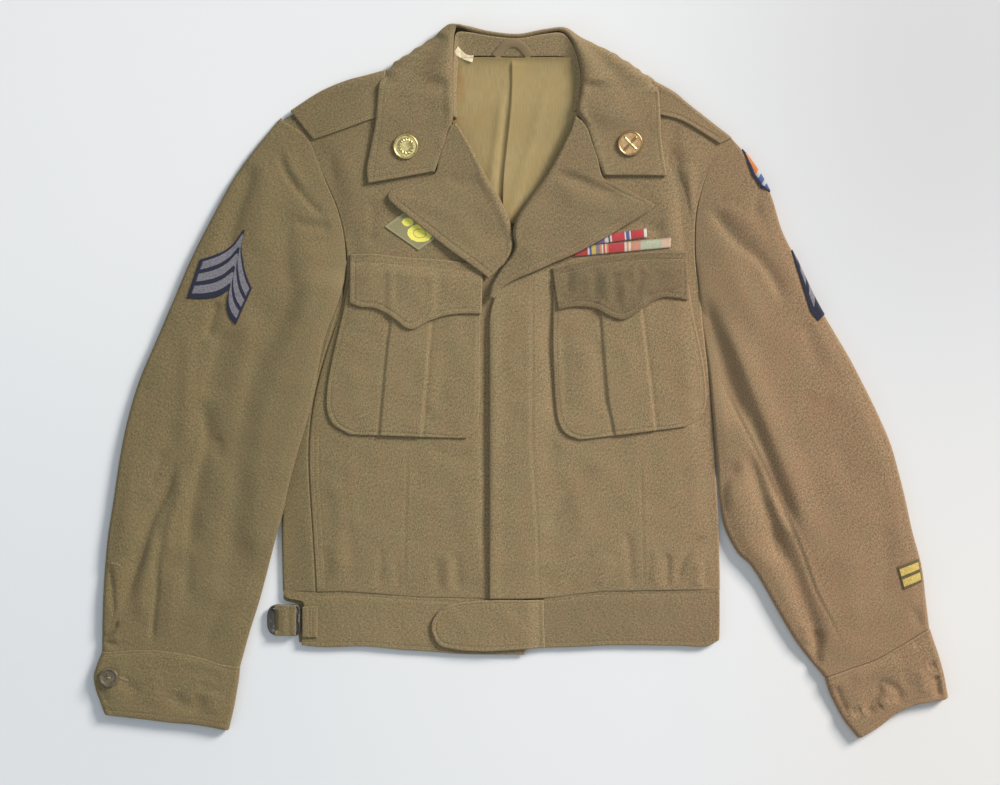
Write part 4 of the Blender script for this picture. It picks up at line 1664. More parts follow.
# how age has toned the wool from the wearer's right to the left, as shares of its colour
FADING = (
    (0.0, (0.735, 0.77, 0.69)), (0.18, (0.745, 0.785, 0.71)), (0.36, (0.925, 0.955, 0.915)),
    (0.60, (1.01, 1.015, 1.0)), (0.88, (1.12, 0.995, 1.035)),
)
DIAMOND_SIZE = (40.2, 28.6)
NAVY = (0.020, 0.022, 0.040)
GREY = (0.285, 0.270, 0.290)
GOLD = (0.86, 0.63, 0.17)
BROWN = (0.12, 0.09, 0.04)
SCARLET = (0.43, 0.010, 0.022)
CRIMSON = (0.42, 0.010, 0.020)
CREAM = (0.62, 0.58, 0.53)
PATCH_RIM = (0.012, 0.016, 0.05)
PATCH_RINGS = (
    (0.0, (0.010, 0.014, 0.045)), (0.10, (0.62, 0.20, 0.035)), (0.52, (0.55, 0.53, 0.48)),
    (0.62, (0.06, 0.10, 0.28)), (0.74, (0.50, 0.50, 0.50)), (0.84, (0.05, 0.08, 0.25)),
    (0.93, (0.010, 0.014, 0.045)),
)
UPPER_STRIPES = (
    (0.0, (0.145, 0.085, 0.215)), (0.255, (0.55, 0.52, 0.47)), (0.322, (0.06, 0.05, 0.07)),
    (0.352, (0.55, 0.52, 0.47)), (0.384, SCARLET), (0.617, CREAM),
    (0.640, (0.07, 0.08, 0.24)), (0.700, CREAM), (0.724, SCARLET),
    (0.960, CREAM),
)
LOWER_STRIPES = (
    (0.0, CRIMSON), (0.134, (0.60, 0.55, 0.50)), (0.154, (0.07, 0.08, 0.26)),
    (0.178, (0.56, 0.40, 0.08)), (0.221, (0.20, 0.16, 0.19)), (0.263, (0.55, 0.20, 0.06)),
    (0.283, (0.60, 0.55, 0.48)), (0.300, (0.45, 0.05, 0.04)), (0.318, (0.60, 0.50, 0.35)),
    (0.335, (0.55, 0.16, 0.06)), (0.354, CRIMSON), (0.523, (0.60, 0.55, 0.48)),
    (0.545, (0.55, 0.22, 0.07)), (0.565, (0.60, 0.55, 0.48)), (0.588, (0.55, 0.22, 0.07)),
    (0.608, (0.56, 0.24, 0.16)), (0.688, (0.42, 0.44, 0.31)), (0.908, (0.62, 0.42, 0.29)),
)
CHEVRON_BANDS = (
    (0.0, NAVY, 0), (0.07, GREY, 1), (0.27, NAVY, 0), (0.38, GREY, 1), (0.58, NAVY, 0),
    (0.69, GREY, 1), (0.88, NAVY, 0),
)
SERVICE_BANDS = (
    (0.0, BROWN, 0), (0.11, GOLD, 1), (0.43, BROWN, 0), (0.58, GOLD, 1), (0.91, BROWN, 0),
)
FINISHES = {}


def finish_of(name):
    """The finish of that name, made once."""
    if name not in FINISHES:
        FINISHES[name] = MAKES[name](name)
    return FINISHES[name]


def sizes():
    """The sizes that a user may change."""
    return bpy.context.scene.jacket_sizes


def colours():
    """The colours that a user may change."""
    return bpy.context.scene.jacket_colours


def in_own_colour(make, setting, share=1.0, *rest):
    """Maker of a finish in a colour that a user may change, made darker or lighter."""
    return lambda name: make(name, shaded(getattr(colours(), setting), share), *rest)


MAKES = {
    "wool": in_own_colour(wool_finish, "wool"),
    "wool_shade": in_own_colour(wool_finish, "wool", 0.70),
    "wool_deep": in_own_colour(wool_finish, "wool", 0.89),
    "wool_pale": in_own_colour(wool_finish, "wool", 1.18),
    "lining": in_own_colour(lining_finish, "lining", 1.05),
    "loop": in_own_colour(lining_finish, "loop"),
    "label": in_own_colour(label_finish, "label"),
    "thread": in_own_colour(thread_finish, "thread"),
    "brass": in_own_colour(metal_finish, "brass", 1.0, (0.26, 0.20, 0.08), 0.34),
    "coppery": in_own_colour(metal_finish, "copper", 1.0, (0.26, 0.15, 0.07), 0.30),
    "button": in_own_colour(button_finish, "button"),
    "floor": in_own_colour(floor_finish, "floor"),
    "blackened": lambda name: painted_finish(name, (0.035, 0.032, 0.028), (0.30, 0.27, 0.22)),
    "ribbon_bar_upper": lambda name: ribbon_finish(name, UPPER_STRIPES),
    "ribbon_bar_lower": lambda name: ribbon_finish(name, LOWER_STRIPES),
    "chevron": lambda name: felt_finish(name, NAVY, CHEVRON_BANDS),
    "chevron_edge": lambda name: felt_finish(name, NAVY, CHEVRON_BANDS, slant=0.25, margin=0.30),
    "service": lambda name: felt_finish(name, BROWN, SERVICE_BANDS, axis=0, raised_by_thread=1.2),
    "diamond": lambda name: diamond_finish(name, (0.25, 0.224, 0.116), (1.0, 0.90, 0.16)),
    "shoulder_patch": lambda name: round_patch_finish(name, PATCH_RIM, PATCH_RINGS),
}


# ---------------------------------------------------------------- pieces


def dressed(node, top, bottom, finish, cut, grain=0.0, uv=None, ending="cloth", slot="wool",
            held="laid", rests=(), **wall):
    """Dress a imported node: press its stitched lines, make its shell and declare its cut.

    Its cloth coordinates are the plan's with the grain turned, or what `uv` works out.
    """
    top = pressed(top, STITCHED.get(node, ()))
    flat = uv(top) if uv else plan_uv(top, grain)
    piece = shell(f"{node}_{ending}", top, bottom, flat, finish_of(finish), slot, **wall)
    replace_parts(piece, node)
    cloth_cut(piece, *cut, held=held, rests=rests)


def fronts():
    """Both fronts, the wearer's left one lapped over the right with a rolled edge."""
    for side, table, head, seam, top_of, edge, grain, cut in (
            ("right", RIGHT_FRONT, RIGHT_HEAD, (317.5, 523), front_top, 1.0, 0.0, (0.246, 0.550)),
            ("left", LEFT_FRONT, LEFT_HEAD, (490.7, 719), lapped_top, 1.2, 0.02, (0.242, 0.550))):
        plan = panel(table, 1.7, edge, np.array(head) + (0, 1.0), seam_line(*seam, 1.3))
        top = laid(plan, top_of)
        dressed("front_" + side, top, raised_by(top, -CLOTH), "wool", cut, grain, edge=edge)


def back_cloth():
    """The back, folded forward to the side seam on the wearer's right."""
    dressed("back", *back_grids(), "wool", (0.492, 0.540), uv=arc_uv, edge=0.8, coarse=4)


def neck_floor(x, y):
    """Height that a piece in the neck lies on: the stand, falling to its lower edge and the lining."""
    return 9.2 + 6.4 * np.clip((57.2 - y) / 20.5, 0, 1)


def neck_pieces():
    """Lining of the neck, the collar's stand, the hanger loop and the bare label."""
    top = laid(panel(NECK_LINING, 0.8, 0.5, NECK_HEAD, None, 0.3), lining_top)
    dressed("neck_lining", top, raised_by(top, -LINING_CLOTH), "lining", (0.134, 0.168), slot="lining",
            rests=("back_cloth",), edge=0.4)
    stand = stand_grid()
    dressed("collar_stand", stand, thickened(stand, CLOTH, (104, 8)), "wool_pale", (0.262, 0.024),
            uv=arc_uv, edge=0.6)
    line = curve(HANGER, 60)
    across = unit(np.gradient(line, axis=0))
    t = np.linspace(-HANGER_HALF, HANGER_HALF, 13)[None, :]
    x, y = line[:, :1] - across[:, 1:] * t, line[:, 1:] + across[:, :1] * t
    low = laid(np.stack([x, y], axis=-1), neck_floor, 0.35)
    top = raised_by(low, 1.1 - 0.02 * t**2 + 0.5 * ramp((52 - y) / 8))
    dressed("hanger_loop", top, low, "loop", (0.010, 0.075), uv=arc_uv, ending="tape", slot="lining",
            edge=0.4, coarse=2)
    low = laid(ruled(curve(LABEL_TOP, 36), curve(LABEL_LOW, 36), 16), neck_floor, 0.9)
    low = raised_by(low, 1.4 * ramp((462 - low[..., 0]) / 8))
    dressed("neck_label", raised_by(low, 0.7), low, "label", (0.0230, 0.0110), slot="label",
            rests=("collar_stand_cloth",), edge=0.3)


def collar_fall():
    """The collar's fall, rolled over its stand; its relief fades where it lies on the floor."""
    fall = collar_grid()
    relief = turned_relief(fall, COLLAR_FOLDS, 5, 0.2) * (fall[..., 2] > 6)
    dressed("collar", raised_by(fall, relief), thickened(fall, DOUBLED, (20, 35)), "wool",
            (0.470, 0.098), uv=arc_uv, edge=1.3)


def lapels():
    """Both lapels, folded back at their rolls."""
    for side, table, top_of, sections, relief, finish, grain, cut in (
            ("right", RIGHT_LAPEL, front_top, 150, RIGHT_LAPEL_FOLDS, "wool", -0.5, (0.128, 0.170)),
            ("left", LEFT_LAPEL, lapped_top, 170, LEFT_LAPEL_FOLDS, "wool_deep", 0.5, (0.168, 0.190))):
        face = lapel_grid(table, top_of, sections)
        dressed("lapel_" + side, raised_by(face, turned_relief(face, relief, 8, 0.15)),
                thickened(face, DOUBLED, (sections // 2, 50)), finish, cut, grain, edge=1.3)


# per tube: its sections, folds, rise of the under side, seams at both ends, rings, wall, reach of
# the seams, crown and seed; then its shell's edge and its cut
TUBES = {
    "sleeve_right": ((RIGHT_SLEEVE, RIGHT_SLEEVE_FOLDS, ride, RIGHT_ARMHOLE, RIGHT_CUFF_SEAM,
                      270, 1.6, 0.25, 1.8, 21), 0.9, (0.345, 0.565)),
    "sleeve_left": ((LEFT_SLEEVE, LEFT_SLEEVE_FOLDS, no_rise, LEFT_ARMHOLE, LEFT_CUFF_SEAM,
                     270, 1.6, 0.25, 1.8, 22), 0.9, (0.345, 0.565)),
    "cuff_right": ((RIGHT_CUFF, RIGHT_CUFF_FOLDS, no_rise, np.array(RIGHT_CUFF_SEAM) + (-0.1, 1.6),
                    RIGHT_CUFF_HEM, 48, BAND, 0.9, 0.6, 31), 1.1, (0.300, 0.076)),
    "cuff_left": ((LEFT_CUFF, LEFT_CUFF_FOLDS, no_rise, np.array(LEFT_CUFF_SEAM) + (0.8, 2.1),
                   LEFT_CUFF_HEM, 54, BAND, 0.6, 0.6, 32), 1.1, (0.262, 0.076)),
}


def tubes(*nodes):
    """Sleeves or cuffs: flattened tubes, each between its two seams."""
    for node in nodes:
        shape, edge, cut = TUBES[node]
        dressed(node, *tube_grids(*shape), "wool", cut, uv=ring_uv, ring=True, edge=edge)


def pockets():
    """Chest pockets with their pleats, and their pointed flaps."""
    for side, rows, lines, flap_top, flap_edge, panel_top, relief, flap_relief, finish in (
            ("right", RIGHT_POCKET, RIGHT_PLEAT, RIGHT_FLAP_TOP, RIGHT_FLAP_EDGE, front_top,
             RIGHT_POCKET_FOLDS, RIGHT_FLAP_FOLDS, "wool"),
            ("left", LEFT_POCKET, LEFT_PLEAT, LEFT_FLAP_TOP, LEFT_FLAP_EDGE, lapped_top,
             LEFT_POCKET_FOLDS, LEFT_FLAP_FOLDS, "wool_shade")):
        front = (f"front_{side}_cloth",)
        plan = panel(rows, 1.25, 0.9)
        x, y = plan[..., 0], plan[..., 1]
        top, bottom = layer(plan, panel_top, SEAM + 0.15, POCKET_CLOTH)
        top = raised_by(top, pleat_rise(x, y, lines) + folds(relief, x, y))
        dressed("pocket_" + side, top, bottom, "wool", (0.156, 0.157), rests=front, edge=0.9)
        plan = between(flap_top, flap_edge, 1.05, 0.9)
        x, y = plan[..., 0], plan[..., 1]
        over = ramp((y - level(flap_top, x) - 4) / 15)
        rise = ((POCKET_CLOTH + SEAM + 0.2) * over
                + pleat_rise(x, np.maximum(y, PLEAT_HEAD), lines, 9.0, 4.0) * over)
        top, bottom = layer(plan, panel_top, SEAM + 0.1, CLOTH)
        dressed("pocket_flap_" + side, raised_by(top, rise + folds(flap_relief, x, y)),
                raised_by(bottom, rise), finish, (0.139, 0.078), rests=front, edge=0.9)


def shoulder_straps():
    """Shoulder straps, laid over the shoulder's edge."""
    for side, table, sections, cut in (("right", RIGHT_STRAP, 72, (0.094, 0.058)),
                                       ("left", LEFT_STRAP, 60, (0.094, 0.045))):
        face = strap_grid(table, sections)
        dressed("shoulder_strap_" + side, face, thickened(face, CLOTH, (sections // 2, 18)), "wool",
                cut, uv=arc_uv, rests=(f"front_{side}_cloth",), edge=1.0)


def waistband():
    """Waistband, its tab, and the keeper and strap that carry the buckle, all cut across the grain."""
    def band(node, top, bottom, cut, edge=0.9, finish="wool"):
        dressed(node, top, bottom, finish, cut, CROSSWISE, edge=edge)

    low = laid(panel(BACK_BAND, 3.0, 0.9, seam_line(284, 719, -1.2), None, 0.3), no_rise)
    band("waistband_back", raised_by(low, BAND), low, (0.440, 0.053))
    for side, rows, seam, hem, cut, finish in (
            ("right", RIGHT_BAND, (284, 523), RIGHT_HEM, (0.244, 0.064), "wool"),
            ("left", LEFT_BAND, (543.8, 719), LEFT_HEM, (0.180, 0.060), "wool_deep")):
        plan = panel(rows, 1.25, 0.9, seam_line(*seam, 2.0), np.array(hem) - (0, 0.9), 0.3)
        top = laid(plan, band_top)
        band("waistband_" + side, top, raised_by(top, -BAND), cut, finish=finish)
    plan = between(TAB_TOP, TAB_EDGE, 1.1, 0.9)
    x, y = plan[..., 0], plan[..., 1]
    low = 2 * BAND + SEAM + 0.8 + SEAM - (BAND + SEAM) * ramp((x - 527) / 14)
    top = with_height(plan, low + DOUBLED + rumple(x, y, 14, 30.0, 0.15))
    band("waist_tab", top, with_height(plan, low), (0.114, 0.054))
    top, low = layer(between(*KEEPER, 1.0, 0.8), band_top, SEAM, 2.0)
    band("buckle_keeper", top, low, (0.0168, 0.0330), 0.8)
    plan = between(*BUCKLE_STRAP, 1.0, 0.7)
    x, y = plan[..., 0], plan[..., 1]
    drop = 4.6 * ramp((279 - x) / 5) * ramp((11.5 - np.abs(y - STRAP_LINE)) / 3)
    crest = 8.9 - 0.8 * ramp((284 - x) / 6) - drop - 0.7 * np.exp(-((x - 289) / 2.5) ** 2)
    top = with_height(plan, crest + rumple(x, y, 4, 20.0, 0.1))
    band("buckle_strap", top, raised_by(top, -1.5), (0.0265, 0.0340), 0.7)


def rod(path, radius, around=14, closed=False, flat=1.0):
    """Points, faces and end caps of a round rod: circles carried square to a path."""
    line = np.asarray(path, float)
    if closed:
        along = unit(np.roll(line, -1, axis=0) - np.roll(line, 1, axis=0))
    else:
        along = unit(np.gradient(line, axis=0))
    side = unit(np.cross(along, UPWARD))
    up = np.cross(side, along)
    angle = np.linspace(0, 2 * math.pi, around, endpoint=False)[None, :, None]
    grid = (line[:, None, :] + radius * (np.cos(angle) * side[:, None, :]
                                         + flat * np.sin(angle) * up[:, None, :]))
    index = np.arange(len(line) * around).reshape(-1, around)
    rings = np.concatenate([index, index[:1]]) if closed else index
    caps = [] if closed else [list(index[0]), list(index[-1][::-1])]
    return grid.reshape(-1, 3), grid_quads(rings, ring=True), caps


def build_rods(name, rods, finish):
    """Several rods as one piece."""
    points, quads, polygons, total = [], [], [], 0
    for p, q, caps in rods:
        points.append(p)
        quads.append(np.asarray(q) + total)
        polygons += [[k + total for k in cap] for cap in caps]
        total += len(p)
    piece = build(name, np.concatenate(points), np.concatenate(quads), polygons,
                  material=finish_of(finish))
    return piece


def buckle():
    """Blackened buckle: a bent frame, and its middle, hem-side and wrapped bars."""
    half = np.array(BUCKLE_HALF)
    other = half[-2::-1] * (1, -1, 1) + (0, 2 * BUCKLE_LINE, 0)
    bars = [rod(curve(np.concatenate([half, other]), 121)[:-1], 1.45, closed=True, flat=0.85)]
    for x, first_y, last_y, z, radius, flat in BUCKLE_BARS:
        bars.append(rod(np.linspace((x, first_y, z), (x, last_y, z), 12), radius, flat=flat))
    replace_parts(build_rods("buckle_bars", bars, "blackened"), "buckle")


def disc_relief(kind):
    """Generic raised work of a disc: a corded ring and a round of leaves, or two crossed bars."""
    def height(radius, angle):
        rope = 0.18 * np.cos(36 * angle) * np.exp(-((radius - 10.4) / 0.5) ** 2)
        if kind == "leaves":
            ring = np.exp(-((radius - 6.6) / 1.5) ** 2)
            return rope + ring * (0.55 + 0.35 * np.cos(14 * angle + 1.3 * radius))
        x, y = radius * np.cos(angle), radius * np.sin(angle)
        first, second = np.abs(0.72 * x - 0.69 * y), np.abs(0.72 * x + 0.69 * y)
        bars = np.maximum(np.exp(-(first / 0.8) ** 4), np.exp(-(second / 0.8) ** 4))
        return rope + 0.7 * bars * ramp((9.2 - radius) / 1.2)
    return height


def turned_piece(name, node, grid, finish):
    """A turned piece whose first and last rings are closed by a face each."""
    index = np.arange(grid.shape[0] * grid.shape[1]).reshape(grid.shape[:2])
    piece = build(name, grid, grid_quads(index, ring=True), [list(index[0][::-1]), list(index[-1])],
                  material=finish_of(finish))
    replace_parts(piece, node)


def collar_discs():
    """The two round collar discs, bare but for plain raised work."""
    face = tuple((r, 1.35) for r in np.linspace(10.5, 0.4, 28))
    for side, x, y, kind, finish in (("right", 406, 147, "leaves", "brass"),
                                     ("left", 630, 144, "bars", "coppery")):
        seat = seated(SURFACES["collar_cloth"], x, y, 12.6)
        grid = turned_grid(*seat, DISC_RIM + face, 120, disc_relief(kind))
        turned_piece(f"collar_disc_{side}_metal", "collar_disc_" + side, grid, finish)


def cuff_button():
    """The button on the right cuff, with its crossing threads."""
    def holes(radius, angle):
        x, y = radius * np.cos(angle), radius * np.sin(angle)
        return -sum(np.exp(-(((x - hole) ** 2 + y**2) / 1.3) ** 2) for hole in (2, -2))

    centre, normal = seated(SURFACES["cuff_right_cloth"], 109.5, 677, 20.0)
    grid = turned_grid(centre, normal, curve(BUTTON, 40), 96, holes)
    turned_piece("cuff_button_plastic", "cuff_button_right", grid, "button")
    t = np.linspace(-2.4, 2.4, 13)
    arcs = [np.stack([t, np.full(13, aside), 0.9 - 0.18 * t**2], axis=1) for aside in (-0.45, 0.0, 0.45)]
    build_rods("cuff_button_thread", [rod(centre + normal * 2.1 + arc, 0.24, 7) for arc in arcs],
               "thread")


def felt(node, plan, carrier, finish, cut):
    """A felt badge that lies on a finished piece."""
    low = with_height(plan, height_on(carrier, plan[..., 0], plan[..., 1]) + FELT_GAP)
    dressed(node, raised_by(low, FELT), low, finish, cut, uv=share_uv, ending="felt", slot="patch",
            rests=(carrier,), edge=0.5)


def sleeve_badges():
    """Arm badges: chevrons on both sleeves, a plain shoulder patch and the service bars."""
    t = np.linspace(0.03, 0.97, 40)[None, :, None]
    first, last = curve(CHEVRON_OUTER, 130, 0.5), curve(CHEVRON_INNER, 130, 0.5)
    felt("chevrons_right", first[:, None, :] * (1 - t) + last[:, None, :] * t, "sleeve_right_cloth",
         "chevron", (0.069, 0.100))
    rings = RINGS["sleeve_left_cloth"]
    away = normals(rings)
    away = away if away[100, 90][2] > 0 else -away
    u, v = np.meshgrid(np.linspace(0, 1, 60), np.linspace(0, 1, 30), indexing="ij")
    for node, first_ring, last_ring, breadth, finish, cut in EDGE_BADGES:
        across = EDGE_COLUMN - EDGE_REACH * (1 - v) * level(breadth, u)
        where = first_ring + (last_ring - first_ring) * u, across / (rings.shape[1] - 1)
        face, out = on_grid(rings, *where), unit(on_grid(away, *where))
        dressed(node, face + out * 1.2, face + out * 0.3, finish, cut, ending="felt", slot="patch",
                uv=lambda grid: share_uv(grid)[..., ::-1], rests=("sleeve_left_cloth",), edge=0.4,
                coarse=3)
    felt("service_bars", cornered(SERVICE_BARS, 44, 38), "sleeve_left_cloth", "service", (0.0255, 0.0255))


def chest_badges():
    """Diamond patch and the two ribbon bars."""
    top, bottom = layer(cornered(DIAMOND, 48, 40), front_top, FELT_GAP, FELT)
    dressed("diamond_patch", top, bottom, "diamond", (0.0425, 0.0315), uv=share_uv, ending="felt",
            slot="patch", rests=("front_right_cloth",), edge=0.6)
    for node, corners in RIBBON_BARS.items():
        length = math.dist(*corners[:2])
        top, bottom = layer(cornered(corners, int(length / 0.7), 15), lapped_top, FELT_GAP, RIBBON_BAR)
        dressed(node, raised_by(top, 0.35 * (1 - np.linspace(-1, 1, 15)[None, :] ** 2)), bottom, node,
                (length * MM + 0.0016, 0.0113), uv=share_uv, ending="silk", slot="ribbon",
                held="folded", rests=("front_left_cloth",), edge=0.6, coarse=3)


def spindles(centres, along, up, length, radius):
    """Small six-sided stitches, pointed at both ends: one ring at each third of the length.

    Each point is the centre plus its share along, aside and up.
    """
    along, up = unit(along), unit(up)
    aside = unit(np.cross(along, up))
    turn = np.linspace(0, 2 * math.pi, 6, endpoint=False)
    shares = [(-0.5, 0.0, -0.25)] + [(t, math.cos(a), math.sin(a)) for t in (-0.24, 0.24) for a in turn]
    shares = np.array(shares + [(0.5, 0.0, -0.25)])
    points = (centres[:, None, :] + shares[None, :, 0:1] * length * along[:, None, :]
              + shares[None, :, 1:2] * radius * aside[:, None, :]
              + shares[None, :, 2:3] * radius * up[:, None, :])
    k = np.arange(6)
    n = (k + 1) % 6
    tips = np.concatenate([np.stack([0 * k, 1 + n, 1 + k], axis=1),
                           np.stack([0 * k + 13, 7 + k, 7 + n], axis=1)])
    sides = np.stack([1 + k, 1 + n, 7 + n, 7 + k], axis=1)
    step = len(shares) * np.arange(len(centres))[:, None, None]
    return points.reshape(-1, 3), (sides[None] + step).reshape(-1, 4), (tips[None] + step).reshape(-1, 3)


def threads_on(surface, paths, pitch=None, sink=0.05):
    """Stitches along plan paths, dropped on a piece's upper face and tilted with it."""
    pitch = pitch or sizes().stitch_pitch * 1000
    made = []
    for path in paths:
        dense = curve(path, 400)
        run = np.concatenate([[0.0], np.cumsum(np.linalg.norm(np.diff(dense, axis=0), axis=1))])
        count = max(int(run[-1] / pitch), 1)
        at = (np.arange(count) + 0.5) * run[-1] / count
        ends = [np.stack([np.interp(at + d, run, dense[:, k]) for k in (0, 1)], axis=1)
                for d in (-1.0, 0.0, 1.0)]
        heights = [height_on(surface, e[:, 0], e[:, 1]) for e in ends]
        first, middle, last = (with_height(e, h - sink) for e, h in zip(ends, heights))
        made.append((middle, last - first))
    return tuple(np.concatenate(kind) for kind in zip(*made))


def build_threads(name, rows, radius=None):
    """One piece of thread work from stitches on several surfaces."""
    centres, along = (np.concatenate(kind) for kind in zip(*rows))
    up = np.broadcast_to(UPWARD, centres.shape)
    points, quads, tips = spindles(centres, along, up, STITCH_LENGTH, radius or sizes().thread * 500)
    piece = build(name, points, quads, [list(t) for t in tips], material=finish_of("thread"))


def stitching():
    """Every visible line of machine stitching, lying in its groove, and the two hand-sewn marks."""
    for name, nodes in STITCH_GROUPS.items():
        build_threads(name, [threads_on(node + "_cloth", STITCHED[node]) for node in nodes])
    build_threads("sleeve_bar_tack", [threads_on("sleeve_right_cloth", BAR_TACK, 1.5, sink=-0.15)], 0.3)
    build_threads("cuff_buttonhole", [threads_on("cuff_right_cloth", BUTTONHOLE, 1.2, sink=-0.1)], 0.35)


# per light: name, place, size, power and colour
LIGHTS = (
    ("key", (5.4, 4.1, 3.9), 2.4, 815.0, (1.0, 0.955, 0.90)),
    ("fill", (-1.8, -1.0, 1.6), 1.6, 10.0, (0.82, 0.92, 1.0)),
    ("top", (0.1, 0.0, 2.6), 2.0, 12.0, (0.96, 0.99, 1.0)),
)
SKY = (0.80, 0.88, 0.94)
SKY_STRENGTH = 0.28
FLOOR_HALF, FLOOR_DROP = 2.5, 0.0004
# the view spans its sensor's width in metres at the height of the garment's face
SENSOR = 36.0
FACE_HEIGHT = 0.008
CAMERA_PLACE = (-0.021, -0.0117)


def stage():
    """Pale floor, soft studio lights and the camera straight above."""
    scene = bpy.context.scene
    around = (-1, -1), (1, -1), (1, 1), (-1, 1)
    mesh = bpy.data.meshes.new("floor")
    mesh.from_pydata([(x * FLOOR_HALF, y * FLOOR_HALF, -FLOOR_DROP) for x, y in around], [], [range(4)])
    mesh.materials.append(finish_of("floor"))
    floor = bpy.data.objects.new("floor", mesh)
    scene.collection.objects.link(floor)
    for name, place, size, power, colour in LIGHTS:
        lamp = bpy.data.lights.new(name, "AREA")
        lamp.shape, lamp.size, lamp.energy, lamp.color = "SQUARE", size, power, colour
        holder = bpy.data.objects.new(name, lamp)
        holder.location = place
        holder.rotation_euler = (-Vector(place)).to_track_quat("-Z", "Y").to_euler()
        scene.collection.objects.link(holder)
    scene.world = bpy.data.worlds.new("studio")
    scene.world.use_nodes = True
    back = scene.world.node_tree.nodes["Background"]
    back.inputs["Color"].default_value = (*SKY, 1)
    back.inputs["Strength"].default_value = SKY_STRENGTH
    scene.view_settings.view_transform = "Standard"
    height = sizes().camera_height
    lens = bpy.data.cameras.new("camera")
    lens.sensor_width, lens.lens = SENSOR, SENSOR * (height - FACE_HEIGHT)
    lens.clip_end = 20.0
    camera = bpy.data.objects.new("camera", lens)
    camera.location = (*CAMERA_PLACE, height)
    scene.collection.objects.link(camera)
    scene.camera = camera


# ---------------------------------------------------------------- settings, operators and panel


def length_setting(name, description, default, low, high):
    """A length in metres."""
    return bpy.props.FloatProperty(name=name, description=description, default=default, min=low,
                                   max=high, precision=5, subtype="DISTANCE", unit="LENGTH")


def colour_setting(name, description, default):
    """A plain linear colour."""
    return bpy.props.FloatVectorProperty(name=name, description=description, default=default, size=3,
                                         min=0.0, max=1.0, subtype="COLOR")


class JacketSizes(bpy.types.PropertyGroup):
    """Sizes of the sewing, strength of the folds and height of the camera."""

    folds: bpy.props.FloatProperty(name="Folds", description="Strength of every placed fold", default=1.0,
                                   min=0.0, max=1.3, subtype="FACTOR")
    stitch_pitch: length_setting("Stitch pitch", "From one stitch to the next", 0.0027, 0.002, 0.006)
    thread: length_setting("Thread", "Thickness of the sewing thread", 0.00052, 0.0002, 0.001)
    camera_height: length_setting("Camera height", "Camera's height above the floor", 2.4, 1.5, 8.0)


class JacketColours(bpy.types.PropertyGroup):
    """Colours of the cloths, threads and metals."""

    wool: colour_setting("Wool", "Olive wool serge", (0.240, 0.176, 0.096))
    lining: colour_setting("Lining", "Cotton lining of the neck", (0.33, 0.25, 0.115))
    loop: colour_setting("Hanger loop", "Tape of the hanger loop", (0.26, 0.19, 0.105))
    label: colour_setting("Label", "Bare woven label", (0.92, 0.78, 0.52))
    thread: colour_setting("Thread", "Sewing thread", (0.36, 0.29, 0.16))
    brass: colour_setting("Brass", "The yellow collar disc", (0.72, 0.60, 0.27))
    copper: colour_setting("Copper", "The reddish collar disc", (0.56, 0.36, 0.17))
    button: colour_setting("Button", "Brown cuff button", (0.115, 0.090, 0.052))
    floor: colour_setting("Floor", "Studio floor", (0.765, 0.775, 0.79))


class MakeFronts(bpy.types.Operator):
    """Make both fronts, the wearer's left one lapped over the right."""

    bl_idname = "jacket.fronts"
    bl_label = "Fronts"

    def execute(self, context):
        fronts()
        return {"FINISHED"}


class MakeBack(bpy.types.Operator):
    """Make the back, with the strip that comes forward to the side seam."""

    bl_idname = "jacket.back"
    bl_label = "Back"

    def execute(self, context):
        back_cloth()
        return {"FINISHED"}


class MakeNeck(bpy.types.Operator):
    """Make the neck's lining, the stand, the hanger loop and the label."""

    bl_idname = "jacket.neck"
    bl_label = "Neck"

    def execute(self, context):
        neck_pieces()
        return {"FINISHED"}


class MakeCollar(bpy.types.Operator):
    """Make the collar's fall."""

    bl_idname = "jacket.collar"
    bl_label = "Collar"

    def execute(self, context):
        collar_fall()
        return {"FINISHED"}


class MakeLapels(bpy.types.Operator):
    """Make both lapels."""

    bl_idname = "jacket.lapels"
    bl_label = "Lapels"

    def execute(self, context):
        lapels()
        return {"FINISHED"}


class MakeSleeves(bpy.types.Operator):
    """Make both sleeves."""

    bl_idname = "jacket.sleeves"
    bl_label = "Sleeves"

    def execute(self, context):
        tubes("sleeve_right", "sleeve_left")
        return {"FINISHED"}


class MakeCuffs(bpy.types.Operator):
    """Make both cuffs."""

    bl_idname = "jacket.cuffs"
    bl_label = "Cuffs"

    def execute(self, context):
        tubes("cuff_right", "cuff_left")
        return {"FINISHED"}


class MakePockets(bpy.types.Operator):
    """Make the chest pockets and their flaps."""

    bl_idname = "jacket.pockets"
    bl_label = "Pockets"

    def execute(self, context):
        pockets()
        return {"FINISHED"}


class MakeShoulderStraps(bpy.types.Operator):
    """Make both shoulder straps."""

    bl_idname = "jacket.shoulder_straps"
    bl_label = "Shoulder straps"

    def execute(self, context):
        shoulder_straps()
        return {"FINISHED"}


class MakeWaistband(bpy.types.Operator):
    """Make the waistband, its tab, and the buckle's keeper and strap."""

    bl_idname = "jacket.waistband"
    bl_label = "Waistband"

    def execute(self, context):
        waistband()
        return {"FINISHED"}


class MakeBuckle(bpy.types.Operator):
    """Make the waist buckle."""

    bl_idname = "jacket.buckle"
    bl_label = "Buckle"

    def execute(self, context):
        buckle()
        return {"FINISHED"}


class MakeDiscs(bpy.types.Operator):
    """Make the two collar discs on the finished collar."""

    bl_idname = "jacket.collar_discs"
    bl_label = "Collar discs"

    def execute(self, context):
        collar_discs()
        return {"FINISHED"}


class MakeCuffButton(bpy.types.Operator):
    """Make the button on the finished right cuff."""

    bl_idname = "jacket.cuff_button"
    bl_label = "Cuff button"

    def execute(self, context):
        cuff_button()
        return {"FINISHED"}


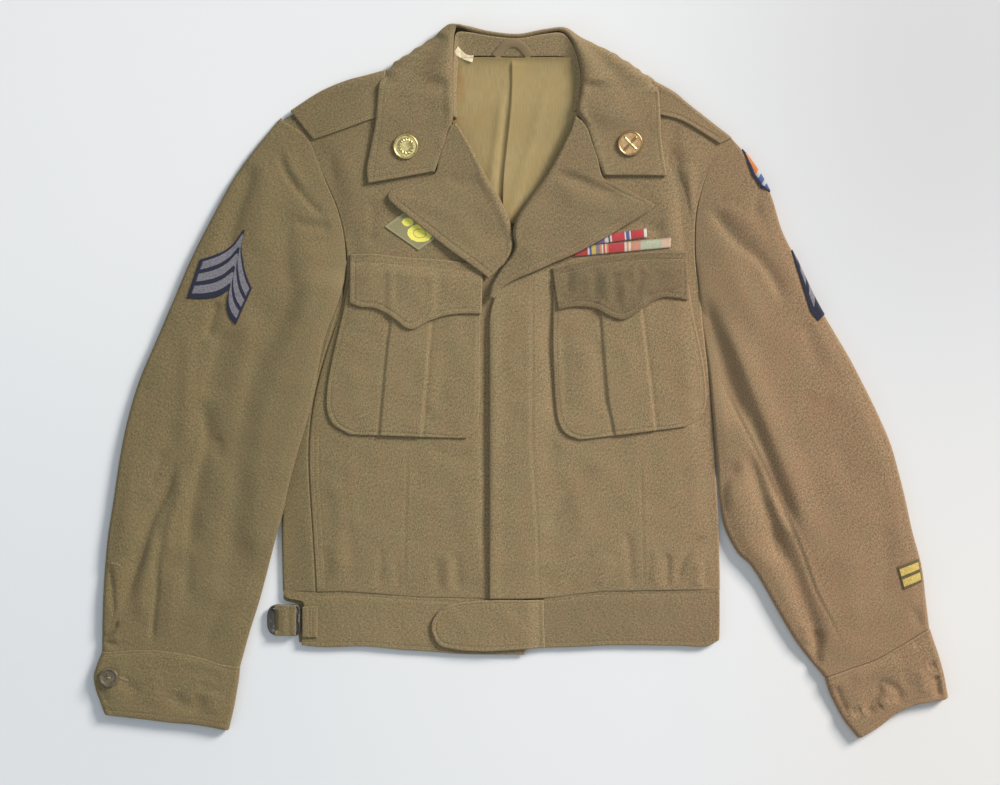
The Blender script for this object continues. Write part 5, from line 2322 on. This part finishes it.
class MakeSleeveBadges(bpy.types.Operator):
    """Make the badges on the finished sleeves."""

    bl_idname = "jacket.sleeve_badges"
    bl_label = "Sleeve badges"

    def execute(self, context):
        sleeve_badges()
        return {"FINISHED"}


class MakeChestBadges(bpy.types.Operator):
    """Make the diamond patch and the ribbon bars."""

    bl_idname = "jacket.chest_badges"
    bl_label = "Chest badges"

    def execute(self, context):
        chest_badges()
        return {"FINISHED"}


class MakeStitching(bpy.types.Operator):
    """Lay the machine stitching on the finished pieces."""

    bl_idname = "jacket.stitching"
    bl_label = "Stitching"

    def execute(self, context):
        stitching()
        return {"FINISHED"}


class MakeStage(bpy.types.Operator):
    """Set the floor, the lights, the sky and the camera."""

    bl_idname = "jacket.stage"
    bl_label = "Stage"

    def execute(self, context):
        stage()
        return {"FINISHED"}


MAKERS = (
    MakeFronts, MakeBack, MakeNeck, MakeCollar, MakeLapels, MakeSleeves, MakeCuffs, MakePockets,
    MakeShoulderStraps, MakeWaistband, MakeBuckle, MakeDiscs, MakeCuffButton, MakeSleeveBadges,
    MakeChestBadges, MakeStitching, MakeStage,
)


class JacketPanel(bpy.types.Panel):
    """Lists the jacket's settings and the operators that make its pieces."""

    bl_idname = "VIEW3D_PT_jacket"
    bl_label = "Wool uniform jacket"
    bl_space_type = "VIEW_3D"
    bl_region_type = "UI"
    bl_category = "Jacket"

    def draw(self, context):
        for settings in (context.scene.jacket_sizes, context.scene.jacket_colours):
            box = self.layout.box()
            for name in settings.__annotations__:
                box.prop(settings, name)
        for maker in MAKERS:
            self.layout.operator(maker.bl_idname)


CLASSES = (JacketSizes, JacketColours, *MAKERS, JacketPanel)


def register():
    """Register the settings, the operators and the panel."""
    for each in CLASSES:
        bpy.utils.register_class(each)
    bpy.types.Scene.jacket_sizes = bpy.props.PointerProperty(type=JacketSizes)
    bpy.types.Scene.jacket_colours = bpy.props.PointerProperty(type=JacketColours)


def unregister():
    """Undo register."""
    del bpy.types.Scene.jacket_colours
    del bpy.types.Scene.jacket_sizes
    for each in reversed(CLASSES):
        bpy.utils.unregister_class(each)


def main():
    """Make every piece in order, then note both boxes."""
    register()
    for maker in MAKERS:
        getattr(bpy.ops.jacket, maker.bl_idname.split(".")[1])()


if __name__ == "__main__":
    main()
